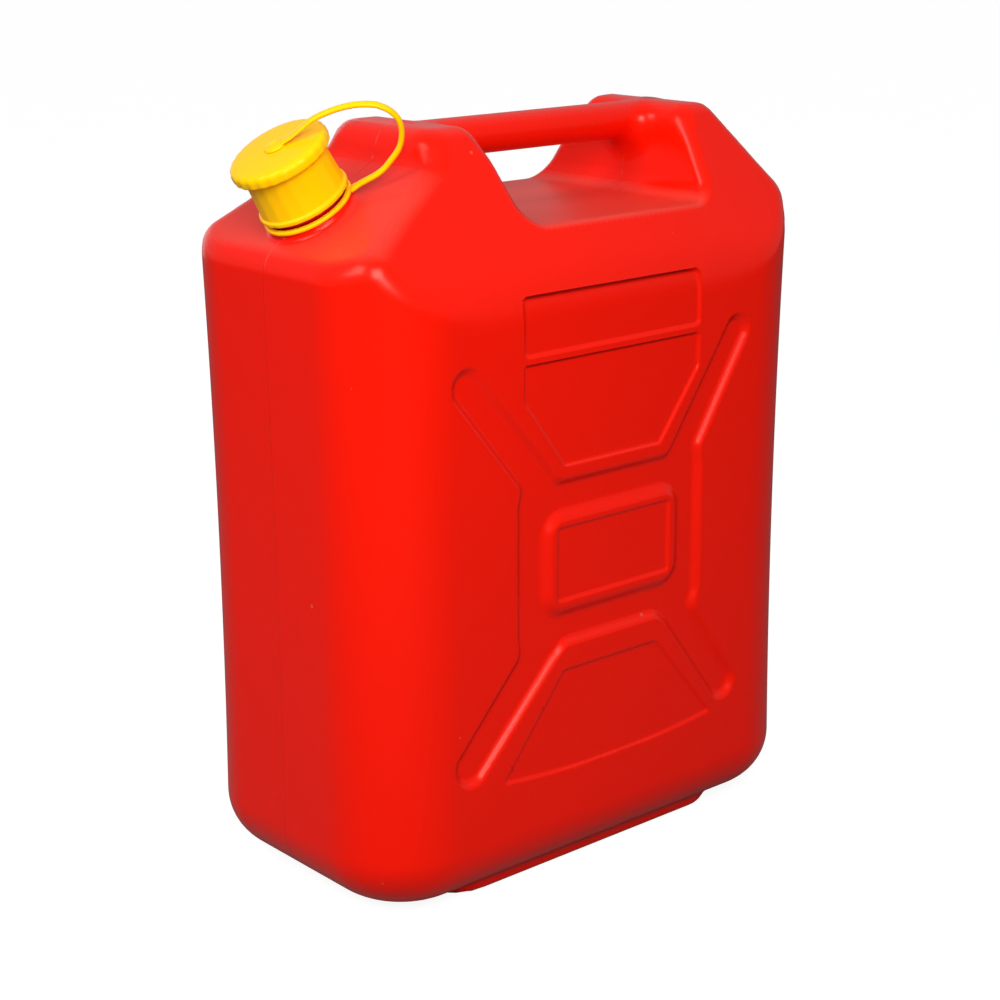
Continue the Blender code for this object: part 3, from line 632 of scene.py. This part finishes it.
spots = listed(can_mesh.vertices, "co", 3).T
outer, inner = outer_field(*spots), inner_field(*spots)
outward = np.where(np.abs(outer[0]) < np.abs(inner[0]), outer[1:], -inner[1:])
outward = (outward / np.linalg.norm(outward, axis=0)).T
corners = listed(can_mesh.loops, "vertex_index", 1, np.int32)[:, 0]
middles = listed(can_mesh.polygons, "center", 3).T
flat = neck_polar(*middles)[1][0] > NECK_LENGTH - 0.00001
normals = np.where(np.repeat(flat, 3)[:, None], np.array(neck_axis), outward[corners])
can_mesh.normals_split_custom_set(normals.tolist())
can_shell = place("can_shell", can_mesh)
print("corners shaded:", len(normals), "of which flat at the lip:", 3 * int(flat.sum()))

# %% [markdown]
# ## Wiring nodes
#
# Materials and Geometry Nodes are both graphs of nodes. A few helpers keep them
# short: they start a group with named inputs and outputs, add a node with its
# inputs filled in order, and write the sums that come up often.

# %% Helpers for node trees
def new_group(name, kind, inputs, outputs):
    """Start a node group. Each socket is a label, a type and maybe a default."""
    tree = bpy.data.node_groups.new(name, kind)
    for direction, sockets in (("INPUT", inputs), ("OUTPUT", outputs)):
        for label, socket_type, *default in sockets:
            socket = tree.interface.new_socket(
                label, in_out=direction, socket_type="NodeSocket" + socket_type)
            if default:
                socket.default_value = default[0]
    start, end = tree.nodes.new("NodeGroupInput"), tree.nodes.new("NodeGroupOutput")
    return tree, start.outputs, end.inputs


def geometry_group(name, *inputs):
    """Start a tree that takes a mesh and some values, and gives a mesh."""
    mesh = ("Geometry", "Geometry")
    inputs = [mesh, *inputs, ("Material", "Material")]
    return new_group(name, "GeometryNodeTree", inputs, [mesh])


def add(tree, kind, *values, **options):
    """Add a node and return its first output. A value may be such an output."""
    node = tree.nodes.new(kind)
    for name, option in options.items():
        setattr(node, name, option)
    sockets = [socket for socket in node.inputs if socket.enabled]
    for socket, value in zip(sockets, values):
        if isinstance(value, bpy.types.NodeSocket):
            tree.links.new(value, socket)
        elif value is not None:
            socket.default_value = value
    return next(socket for socket in node.outputs if socket.enabled)


def maths(tree, operation, *values):
    """Add a Math node."""
    return add(tree, "ShaderNodeMath", *values, operation=operation)


def times(tree, first, *others):
    """Multiply values."""
    for value in others:
        first = maths(tree, "MULTIPLY", first, value)
    return first


def pile(tree, total, *layers):
    """Add each layer's value, times its strength, to a total."""
    for value, strength in layers:
        total = maths(tree, "MULTIPLY_ADD", value, strength, total)
    return total


def noise(tree, spot, scale, detail, roughness):
    """Add a cloudy pattern. A larger scale gives smaller clouds."""
    return add(tree, "ShaderNodeTexNoise", spot, None, scale, detail, roughness)


def split_xyz(tree, vector):
    """Split a vector into its X, Y and Z."""
    return tuple(add(tree, "ShaderNodeSeparateXYZ", vector).node.outputs)


def hand_over(tree, geometry, given, result):
    """Give out plain mesh with its material on it."""
    geometry = add(tree, "GeometryNodeRealizeInstances", geometry)
    geometry = add(tree, "GeometryNodeSetMaterial", geometry, None, given["Material"])
    tree.links.new(geometry, result["Geometry"])


def between(tree, value, low, high, out_low=0.0, out_high=1.0):
    """Rise smoothly from out_low to out_high as value goes from low to high."""
    return add(
        tree, "ShaderNodeMapRange", value, low, high, out_low, out_high,
        interpolation_type="SMOOTHSTEP")


# %% [markdown]
# ## Finishes
#
# Three effects are shared by the red and the yellow plastic, so each is a node
# group: pigment that varies a little, dust that settles on what faces up, and
# the thin marks that handling leaves. Each gives a mask or a colour, and every
# material uses it at its own strength.

# %% Uneven pigment
mottle, given, result = new_group(
    "uneven_pigment", "ShaderNodeTree",
    [("Place", "Vector"), ("Colour", "Color"), ("Amount", "Float", 0.1)],
    [("Colour", "Color")])
cloud = noise(mottle, given["Place"], 22.0, 3.0, 0.55)
speck = noise(mottle, given["Place"], 420.0, 2.0, 0.6)
mixed = pile(mottle, cloud, (speck, 0.35))
swing = times(mottle, maths(mottle, "SUBTRACT", mixed, 0.675), given["Amount"])
gain = pile(mottle, 1.0, (swing, 2.0))
scaled = add(mottle, "ShaderNodeVectorMath", given["Colour"], gain, operation="SCALE")
mottle.links.new(scaled, result["Colour"])

# %% Settled dust
dust, given, result = new_group(
    "settled_dust", "ShaderNodeTree",
    [("Place", "Vector"), ("Up", "Float"), ("Amount", "Float", 0.5)],
    [("Mask", "Float")])
facing = between(dust, given["Up"], 0.55, 0.97)
patches = noise(dust, given["Place"], 45.0, 6.0, 0.68)
patches = between(dust, patches, 0.36, 0.70, 0.25, 1.0)
grit = add(dust, "ShaderNodeTexVoronoi", given["Place"], 520.0)
grit = between(dust, grit, 0.10, 0.26, 1.0, 0.0)
masked = times(dust, pile(dust, patches, (grit, 0.45)), facing, given["Amount"])
dust.links.new(masked, result["Mask"])

# %% Handling marks
marks, given, result = new_group(
    "handling_marks", "ShaderNodeTree",
    [("Place", "Vector"), ("Amount", "Float", 0.5)], [("Mask", "Float")])
streaks = []
for tilt, stretch in (((0.3, 0.9, 0.4), 700.0), ((1.1, -0.5, 1.3), 900.0)):
    laid = add(
        marks, "ShaderNodeMapping", given["Place"], (0.0, 0.0, 0.0), tilt,
        (24.0, stretch, stretch))
    line = noise(marks, laid, 1.0, 1.0, 0.5)
    streaks.append(between(marks, line, 0.70, 0.76))
lines = maths(marks, "MAXIMUM", *streaks)
nicks = add(marks, "ShaderNodeTexVoronoi", given["Place"], 26.0)
nicks = between(marks, nicks, 0.020, 0.036, 1.0, 0.0)
areas = noise(marks, given["Place"], 14.0, 2.0, 0.5)
lines = times(marks, lines, between(marks, areas, 0.50, 0.66))
masked = times(marks, maths(marks, "MAXIMUM", lines, nicks), given["Amount"])
marks.links.new(masked, result["Mask"])
print("shared finishes:", [group.name for group in (mottle, dust, marks)])


# %% [markdown]
# ## Red plastic
#
# Blow-moulded polyethylene is satin, with a very fine grain and slow waves in
# its surface. The two halves of the mould leave a thin pinch line all round
# the middle. Dust dulls the shoulder and the floor of the hand recess.

# %% Start a plastic
def use_group(tree, group, *values):
    """Add a node group and return its first output."""
    return add(tree, "ShaderNodeGroup", *values, node_tree=group)


DUST_FULL, DUST_THIN, DUST_LEFT = 0.390, 0.408, 0.15


def plastic(name, colour, dusty, amounts, specular, specular_tint):
    """A Principled material whose colour has pigment, dust and marks in it.

    Hands rub the handle and the tops clean, so dust stays below them.
    """
    pigment, dust_amount, mark_amount = amounts
    material = bpy.data.materials.new(name)
    material.use_nodes = True
    tree = material.node_tree
    coordinates = tree.nodes.new("ShaderNodeTexCoord")
    spot = coordinates.outputs["Object"]
    up = split_xyz(tree, coordinates.outputs["Normal"])[2]
    left = between(
        tree, split_xyz(tree, spot)[2], DUST_FULL, DUST_THIN,
        dust_amount, dust_amount * DUST_LEFT)
    tint = use_group(tree, mottle, spot, colour, pigment)
    dirt = use_group(tree, dust, spot, up, left)
    worn = use_group(tree, marks, spot, mark_amount)
    tint = add(tree, "ShaderNodeMix", worn, tint, dusty, data_type="RGBA")
    tint = add(tree, "ShaderNodeMix", dirt, tint, dusty, data_type="RGBA")
    shader = tree.nodes["Principled BSDF"]
    tree.links.new(tint, shader.inputs["Base Color"])
    shader.inputs["Specular IOR Level"].default_value = specular
    shader.inputs["Specular Tint"].default_value = specular_tint
    return material, tree, shader, spot, dirt, worn


def finish_surface(tree, shader, roughness, height):
    """Feed the shader its roughness and, through a bump, its height in metres."""
    tree.links.new(roughness, shader.inputs["Roughness"])
    bump = add(tree, "ShaderNodeBump", 1.0, 1.0, None, height)
    tree.links.new(bump, shader.inputs["Normal"])


# %% Red plastic
red, tree, shader, spot, dirt, worn = plastic(
    "red_polyethylene", (0.82, 0.0060, 0.0, 1.0), (0.60, 0.12, 0.085, 1.0),
    (0.10, 0.55, 0.55), 0.38, (1.0, 0.50, 0.42, 1.0))
across = split_xyz(tree, spot)[1]
pinch = between(tree, maths(tree, "ABSOLUTE", across), 0.0001, 0.0007, 1.0, 0.0)
wander = noise(tree, spot, 60.0, 2.0, 0.5)
pinch = times(tree, pinch, between(tree, wander, 0.30, 0.60, 0.35, 1.0))
grain = noise(tree, spot, 1700.0, 3.0, 0.6)
waves = noise(tree, spot, 26.0, 1.0, 0.4)
rough = pile(tree, 0.21, (grain, 0.10), (dirt, 0.45), (worn, 0.20))
height = pile(
    tree, times(tree, grain, 0.000014), (waves, 0.0005), (pinch, 0.00026), (worn, -0.00005))
finish_surface(tree, shader, rough, height)
print("red plastic has", len(tree.nodes), "nodes")

# %% [markdown]
# ## Yellow plastic and rubber
#
# The cap and its tether are injection moulded, so their surface is finer than
# the can's, with slow flow marks and little dust. The washer inside is dull
# black rubber.

# %% Yellow plastic
yellow, tree, shader, spot, dirt, worn = plastic(
    "yellow_polyethylene", (1.0, 0.55, 0.0, 1.0), (0.95, 0.66, 0.14, 1.0),
    (0.07, 0.12, 0.20), 0.24, (1.0, 0.85, 0.40, 1.0))
grain = noise(tree, spot, 900.0, 2.0, 0.5)
flow = noise(tree, spot, 130.0, 2.0, 0.5)
rough = pile(tree, 0.24, (flow, 0.12), (dirt, 0.40), (worn, 0.25))
height = pile(tree, times(tree, grain, 0.000012), (flow, 0.00016), (worn, -0.00003))
finish_surface(tree, shader, rough, height)

# %% Rubber
rubber = bpy.data.materials.new("washer_rubber_finish")
rubber.use_nodes = True
tree = rubber.node_tree
spot = tree.nodes.new("ShaderNodeTexCoord").outputs["Object"]
tint = use_group(tree, mottle, spot, (0.028, 0.028, 0.030, 1.0), 0.30)
tree.links.new(tint, tree.nodes["Principled BSDF"].inputs["Base Color"])
grain = noise(tree, spot, 1500.0, 3.0, 0.6)
finish_surface(
    tree, tree.nodes["Principled BSDF"], pile(tree, 0.60, (grain, 0.20)),
    times(tree, grain, 0.000020))
print("finishes:", [material.name for material in (red, yellow, rubber)])

# %% [markdown]
# ## Pieces that are turned
#
# The cap, the ring, the eye and the neck's bead are all round about the neck's
# axis. A lathe makes such a piece from one outline, and Geometry Nodes can be
# that lathe: a grid gets one column for each point of the outline and one row
# for each step round. The same rule can pull in scallops where a hand grips.

# %% A lathe in Geometry Nodes
lathe, given, result = geometry_group(
    "lathe", ("Steps", "Int", 96), ("Scallops", "Float", 0.0),
    ("Scallop Depth", "Float", 0.0), ("Scallop Start", "Float", 0.0245),
    ("Facets", "Float", 0.0), ("Facet Depth", "Float", 0.0))
columns = add(lathe, "GeometryNodeAttributeDomainSize", given["Geometry"])
rows = maths(lathe, "ADD", given["Steps"], 1.0)
grid = add(lathe, "GeometryNodeMeshGrid", 1.0, 1.0, columns, rows)
index = add(lathe, "GeometryNodeInputIndex")
column = maths(lathe, "DIVIDE", maths(lathe, "ADD", index, 0.5), rows)
column = maths(lathe, "FLOOR", column)
row = maths(lathe, "SUBTRACT", index, times(lathe, column, rows))
angle = times(lathe, maths(lathe, "DIVIDE", row, given["Steps"]), math.tau)
outline = add(
    lathe, "GeometryNodeSampleIndex", given["Geometry"],
    add(lathe, "GeometryNodeInputPosition"), column, data_type="FLOAT_VECTOR")
radius, _, up = split_xyz(lathe, outline)


def ripple(count, depth, mask):
    """How far a wave round the axis pulls the wall in."""
    wave = maths(lathe, "COSINE", times(lathe, angle, count))
    return times(lathe, pile(lathe, 0.5, (wave, -0.5)), depth, mask)


SKIRT_INSIDE, SKIRT_OUTSIDE, GRIP_WIDTH = 0.0222, 0.0226, 0.002
grip_end = maths(lathe, "ADD", given["Scallop Start"], GRIP_WIDTH)
grip = between(lathe, radius, given["Scallop Start"], grip_end)
skirt = between(lathe, radius, SKIRT_INSIDE, SKIRT_OUTSIDE)
skirt = times(lathe, skirt, maths(lathe, "SUBTRACT", 1.0, grip))
for word, mask in (("Scallop", grip), ("Facet", skirt)):
    wave = ripple(given[word + "s"], given[word + " Depth"], mask)
    radius = maths(lathe, "SUBTRACT", radius, wave)
x = times(lathe, radius, maths(lathe, "COSINE", angle))
y = times(lathe, radius, maths(lathe, "SINE", angle))
spun = add(
    lathe, "GeometryNodeSetPosition", grid, None,
    add(lathe, "ShaderNodeCombineXYZ", x, y, up))
spun = add(lathe, "GeometryNodeMergeByDistance", spun, None, 0.000001)
hand_over(lathe, spun, given, result)
print("lathe tree:", len(lathe.nodes), "nodes")


# %% Run a tree on an outline
def outline_mesh(name, points):
    """A chain of points joined by edges, in the X-Z plane."""
    mesh = bpy.data.meshes.new(name)
    chain = [(index, index + 1) for index in range(len(points) - 1)]
    mesh.from_pydata([(x, 0.0, z) for x, z in points], chain, [])
    return mesh


def run_tree(name, mesh, tree, **values):
    """Return the tree's result as plain mesh data, with its faces outward."""
    worker = place(name, mesh)
    step = worker.modifiers.new(name, "NODES")
    step.node_group = tree
    for item in tree.interface.items_tree:
        if item.in_out == "INPUT" and item.name in values:
            step[item.identifier] = values[item.name]
    depsgraph = bpy.context.evaluated_depsgraph_get()
    made = bpy.data.meshes.new_from_object(worker.evaluated_get(depsgraph))
    bpy.data.objects.remove(worker)
    form = bmesh.new()
    form.from_mesh(made)
    bmesh.ops.recalc_face_normals(form, faces=form.faces)
    form.to_mesh(made)
    form.free()
    made.shade_smooth()
    return made


def soften(corners, steps=5):
    """Round each corner (x, z, radius) of an outline with an arc."""
    result = []
    for index, (x, z, radius) in enumerate(corners):
        corner = Vector((x, z))
        if radius == 0.0:
            result.append(corner)
            continue
        before = (Vector(corners[index - 1][:2]) - corner).normalized()
        after = (Vector(corners[index + 1][:2]) - corner).normalized()
        half = before.angle(after) / 2
        run = radius / math.tan(half)
        centre = corner + (before + after).normalized() * (radius / math.sin(half))
        first, last = corner + before * run - centre, corner + after * run - centre
        sweep = math.atan2(first.x * last.y - first.y * last.x, first.dot(last))
        for step in range(steps + 1):
            result.append(centre + Matrix.Rotation(sweep * step / steps, 2) @ first)
    return result


def merge(mesh, *extras):
    """Add other meshes to one."""
    form = bmesh.new()
    for part in (mesh, *extras):
        form.from_mesh(part)
    form.to_mesh(mesh)
    form.free()


neck_place = Matrix.Translation(neck_seat) @ Matrix.Rotation(-SHOULDER_ANGLE, 4, "Y")


def mm(rows):
    """Outline rows written in millimetres."""
    return [tuple(value / 1000 for value in row) for row in rows]


def turn(name, corners, steps, material, **more):
    """Turn an outline on the lathe. Its corners are in millimetres."""
    outline = outline_mesh(name, soften(mm(corners)))
    return run_tree(name, outline, lathe, Steps=steps, Material=material, **more)


# %% [markdown]
# ## Screw threads
#
# A thread is a ridge that follows a helix, one pitch up for each turn. The
# tree sweeps a small section along the helix and lets it fade out at both
# ends, as moulded threads do. The neck and the cap use the same tree.

# %% A ridge along a helix
ridge, given, result = geometry_group(
    "ridge_on_helix", ("Radius", "Float", 0.02), ("Start", "Float", 0.0),
    ("Turns", "Float", 3.0), ("Pitch", "Float", 0.005))
rise = times(ridge, given["Turns"], given["Pitch"])
line = add(
    ridge, "GeometryNodeCurveSpiral", 72, given["Turns"], given["Radius"],
    given["Radius"], rise, True)
lifted = add(ridge, "ShaderNodeCombineXYZ", 0.0, 0.0, given["Start"])
line = add(ridge, "GeometryNodeSetPosition", line, None, None, lifted)
line = add(ridge, "GeometryNodeSetCurveNormal", line, mode="Z_UP")
along = add(ridge, "GeometryNodeSplineParameter")
ends = times(ridge, along, maths(ridge, "SUBTRACT", 1.0, along))
fade = between(ridge, ends, 0.0, 0.05, 0.05, 1.0)
line = add(ridge, "GeometryNodeSetCurveRadius", line, None, fade)
section = add(ridge, "GeometryNodeMeshToCurve", given["Geometry"])
swept = add(ridge, "GeometryNodeCurveToMesh", line, section, None, True)
hand_over(ridge, swept, given, result)
print("ridge tree:", len(ridge.nodes), "nodes")

# %% Sweep both threads
ridge_section = mm([(-0.3, -1.05), (1.3, -0.5), (1.3, 0.5), (-0.3, 1.05)])


def thread(name, radius, start, turns, outward, material):
    """A thread round the neck's axis. It points out (1) or in (-1)."""
    mesh = bpy.data.meshes.new(name)
    mesh.from_pydata(
        [(x * outward, z, 0.0) for x, z in ridge_section],
        [(0, 1), (1, 2), (2, 3), (3, 0)], [])
    made = run_tree(
        name, mesh, ridge, Radius=radius, Start=start, Turns=turns, Material=material)
    radii = [math.hypot(vert.co.x, vert.co.y) * 1000 for vert in made.vertices]
    print(name, "radius", round(min(radii), 2), "to", round(max(radii), 2), "mm")
    return made


neck_thread = thread("neck_thread", NECK_RADIUS, 0.0125, 3.0, 1.0, red)
cap_thread = thread("cap_thread", 0.0215, 0.015, 2.0, -1.0, yellow)

# %% [markdown]
# ## The neck's bead
#
# Above the collar the neck has a groove for the tether's ring, then a bead
# that keeps the ring down. It is turned on the lathe and sits on the tube.

# %% Turn the bead
neck_bead = turn("neck_bead", [
    (19.2, 3.0, 0), (21.8, 3.0, 0), (21.8, 8.1, 0), (22.4, 8.1, 0.3),
    (22.4, 9.3, 0.6), (19.5, 10.6, 0), (19.2, 10.6, 0), (19.2, 3.0, 0)], 144, red)
can_mesh.materials.append(red)
for extra in (neck_bead, neck_thread):
    extra.transform(neck_place)
merge(can_mesh, neck_bead, neck_thread)
print("can shell with bead and thread:", len(can_mesh.polygons), "faces")

# %% [markdown]
# ## The screw cap
#
# The cap is a shallow dome over a scalloped rim, with a slightly tapered skirt
# and a bead round its foot. The outline starts in the little socket at the
# centre of the dome, goes out over the top and down the skirt, and comes back
# up through the bore.

# %% Turn the cap
cap_mesh = turn("cap_outline", [
    (0, 40.3, 0), (2.4, 40.3, 0), (2.4, 43.1, 0.3), (11.0, 42.85, 12.0),
    (20.0, 42.4, 12.0), (27.7, 41.8, 3.0), (27.7, 35.2, 1.5),
    (22.9, 35.2, 0.9), (24.1, 12.6, 0.8), (25.4, 11.9, 0.7), (25.4, 9.8, 0.7),
    (24.2, 9.7, 0.2), (23.0, 9.7, 0.2), (21.5, 12.5, 0.8), (21.5, 38.4, 0.6),
    (0, 38.4, 0)], 312, yellow,
    **{"Scallops": 26.0, "Scallop Depth": 0.00034, "Scallop Start": 0.0245,
       "Facets": 20.0, "Facet Depth": 0.00016})
merge(cap_mesh, cap_thread)
cap_mesh.transform(neck_place)
cap_skin = place("cap_skin", cap_mesh)
print("cap:", len(cap_mesh.polygons), "faces")

# %% [markdown]
# ## The tether
#
# A ring round the neck, a thin strap and an eye on the cap are one soft
# moulding that keeps the cap from getting lost. The ring and the eye are
# turned. The strap follows a loop that leaves the ring, swings out and comes
# down on the cap, where it widens to a flat tongue.

# %% Turn the ring and the eye
ring_mesh = turn("ring_outline", [
    (23.6, 4.3, 0), (25.2, 4.3, 1.0), (25.2, 6.6, 1.0), (22.1, 6.6, 0.6),
    (22.1, 4.3, 0.6), (23.6, 4.3, 0)], 192, yellow)
eye_mesh = turn("eye_outline", [
    (0, 40.6, 0), (2.1, 40.6, 0.2), (2.1, 43.45, 0.1), (6.3, 43.2, 0.2),
    (5.6, 44.3, 1.2), (2.6, 44.9, 0.6), (1.6, 44.35, 0.5), (0, 44.25, 0)], 96, yellow)
for mesh in (ring_mesh, eye_mesh):
    mesh.transform(neck_place)
tether_ring_skin = place("tether_ring_skin", ring_mesh)
tether_eye_skin = place("tether_eye_skin", eye_mesh)

# %% The strap's route
route = mm([
    (25.4, 5.4), (30.8, 6.4), (43.1, 8.4), (52.0, 13.0), (58.3, 17.6),
    (62.7, 24.3), (64.4, 31.2), (63.0, 37.2), (59.7, 41.8), (55.8, 44.9),
    (47.6, 48.2), (38.2, 49.8), (28.6, 49.8), (23.3, 49.2), (16.2, 47.2),
    (9.7, 45.2), (5.0, 44.3)])


def smooth_path(points, steps):
    """Points on a smooth curve that passes through all the given ones."""
    spots = np.array([points[0], *points, points[-1]])
    path = []
    for a, b, c, d in zip(spots, spots[1:], spots[2:], spots[3:]):
        for t in np.arange(steps) / steps:
            path.append(0.5 * (
                2 * b + (c - a) * t + (2 * a - 5 * b + 4 * c - d) * t ** 2
                + (3 * b - a - 3 * c + d) * t ** 3))
    return path + [spots[-1]]


# %% A tree that sweeps a flat strip
strip, given, result = geometry_group(
    "moulded_strip", ("Width", "Float", 0.004), ("Thickness", "Float", 0.0025),
    ("Tongue Width", "Float", 0.006), ("Tongue Thickness", "Float", 0.0015))
TONGUE_START, TONGUE_FULL, FOOT_END, FOOT_SHARE = 0.78, 0.95, 0.05, 0.8
line = add(strip, "GeometryNodeMeshToCurve", given["Geometry"])
line = add(strip, "GeometryNodeResampleCurve", line, None, 180)
along = add(strip, "GeometryNodeSplineParameter")
tongue = between(strip, along, TONGUE_START, TONGUE_FULL)
foot = between(strip, along, 0.0, FOOT_END, 1.0, 0.0)
spread = maths(strip, "MAXIMUM", tongue, times(strip, foot, FOOT_SHARE))
wide = add(strip, "ShaderNodeMix", spread, given["Width"], given["Tongue Width"])
thick = add(strip, "ShaderNodeMix", tongue, given["Thickness"], given["Tongue Thickness"])
kept = add(strip, "GeometryNodeCaptureAttribute", line)
kept_node = kept.node
middle = add(strip, "GeometryNodeInputPosition")
for kind, label in (("VECTOR", "Centre"), ("FLOAT", "Wide"), ("FLOAT", "Thick")):
    kept_node.capture_items.new(kind, label)
for label, value in (("Centre", middle), ("Wide", wide), ("Thick", thick)):
    strip.links.new(value, kept_node.inputs[label])
oval = add(strip, "GeometryNodeCurvePrimitiveCircle", 20, mode="RADIUS")
oval.node.inputs["Radius"].default_value = 0.5
swept = add(strip, "GeometryNodeCurveToMesh", kept, oval, None, True)
offset = add(
    strip, "ShaderNodeVectorMath", add(strip, "GeometryNodeInputPosition"),
    kept_node.outputs["Centre"], operation="SUBTRACT")
dx, dy, dz = split_xyz(strip, offset)
offset = add(
    strip, "ShaderNodeCombineXYZ",
    times(strip, dx, kept_node.outputs["Thick"]),
    times(strip, dy, kept_node.outputs["Wide"]),
    times(strip, dz, kept_node.outputs["Thick"]))
spot = add(
    strip, "ShaderNodeVectorMath", kept_node.outputs["Centre"], offset, operation="ADD")
swept = add(strip, "GeometryNodeSetPosition", swept, None, spot)
hand_over(strip, swept, given, result)

# %% Sweep the strap
strap_mesh = run_tree(
    "strap_route", outline_mesh("strap_route", smooth_path(route, 8)), strip,
    Width=0.0046, Thickness=0.0030, Material=yellow,
    **{"Tongue Width": 0.0074, "Tongue Thickness": 0.0020})
strap_mesh.transform(neck_place @ Matrix.Rotation(math.radians(-45.0), 4, "Z"))
strap_skin = place("strap_skin", strap_mesh)
print("strap:", len(strap_mesh.polygons), "faces, box",
      [round(size * 1000, 1) for size in strap_skin.dimensions], "mm")

# %% [markdown]
# ## Stand-ins and bodies
#
# Each fine piece hides the engineering part that it stands for. The shell, the cap,
# the ring and the eye move with the same body as their parts, and the strap's skin
# stays where it was built.

# %% Ride on the bodies
for piece, node, body, finish in (
        (can_shell, "can_body", "can", "red_plastic"),
        (cap_skin, "cap", "screw_cap", "yellow_plastic"),
        (tether_ring_skin, "tether_ring", "can", "yellow_plastic"),
        (tether_eye_skin, "tether_eye", "tether_end", "yellow_plastic")):
    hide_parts(node)
    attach(piece, body)
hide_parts("tether_strap")
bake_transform(strap_skin)
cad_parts["cap_washer"].data.materials.clear()
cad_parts["cap_washer"].data.materials.append(rubber)

# %% [markdown]
# ## Floor, background and light
#
# The photograph is a cut-out on white. The floor throws little light on the
# can and glows only for the camera, so it looks nearly white and the shadow
# still shows. A soft key lamp near the camera draws the streaks on the edges,
# a larger one fills the narrow side, and a faint one lights the back.

# %% Lay the floor
FLOOR_GREY, FLOOR_GLOW, SKY_LIGHT, SKY_SEEN = 0.20, 0.91, 0.40, 1.0
floor_mesh = bpy.data.meshes.new("floor")
floor_mesh.from_pydata(
    [(-30, -30, 0), (30, -30, 0), (30, 30, 0), (-30, 30, 0)], [], [(0, 1, 2, 3)])
floor = place("floor", floor_mesh)
paper = bpy.data.materials.new("pale_paper")
paper.use_nodes = True
tree = paper.node_tree
tree.nodes.remove(tree.nodes["Principled BSDF"])
ray = tree.nodes.new("ShaderNodeLightPath").outputs["Is Camera Ray"]
matt = add(tree, "ShaderNodeBsdfDiffuse", (FLOOR_GREY, FLOOR_GREY, FLOOR_GREY, 1.0))
glow = add(
    tree, "ShaderNodeEmission", (1.0, 1.0, 1.0, 1.0), times(tree, ray, FLOOR_GLOW))
tree.links.new(
    add(tree, "ShaderNodeAddShader", matt, glow),
    tree.nodes["Material Output"].inputs["Surface"])
floor_mesh.materials.append(paper)
floor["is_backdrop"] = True

# %% Set the world
world = bpy.data.worlds.new("studio")
bpy.context.scene.world = world
world.use_nodes = True
tree = world.node_tree
background = tree.nodes["Background"]
background.inputs["Color"].default_value = (1.0, 1.0, 1.0, 1.0)
ray = tree.nodes.new("ShaderNodeLightPath").outputs["Is Camera Ray"]
tree.links.new(
    add(tree, "ShaderNodeMix", ray, SKY_LIGHT, SKY_SEEN), background.inputs["Strength"])


# %% Hang the lamps
CAN_MIDDLE = Vector((0.0, 0.0, 0.2))


def lamp(name, azimuth, elevation, distance, size, power):
    """A square soft lamp that looks at the can, placed as the camera is."""
    light = bpy.data.objects.new(name, bpy.data.lights.new(name, "AREA"))
    light.data.size = size
    light.data.energy = power
    look_from(light, azimuth, elevation, distance, CAN_MIDDLE)


lamp("key", -35.0, 30.0, 1.12, 0.50, 9.8)
lamp("fill", -92.0, 38.0, 2.2, 0.9, 17.0)
lamp("back", 165.0, 4.0, 2.4, 1.6, 6.0)

# %% [markdown]
# ## Measure and finish
#
# The finished skin's size is printed beside the engineering model's.

# %% Print both sizes
dressed_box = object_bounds()
plain = [[[float(value) for value in corner] for corner in box] for box in (cad_box, dressed_box)]
for label, box in zip(("cad", "dressed"), plain):
    print(label, [round((high - low) * 1000, 1) for low, high in zip(*box)], "mm")
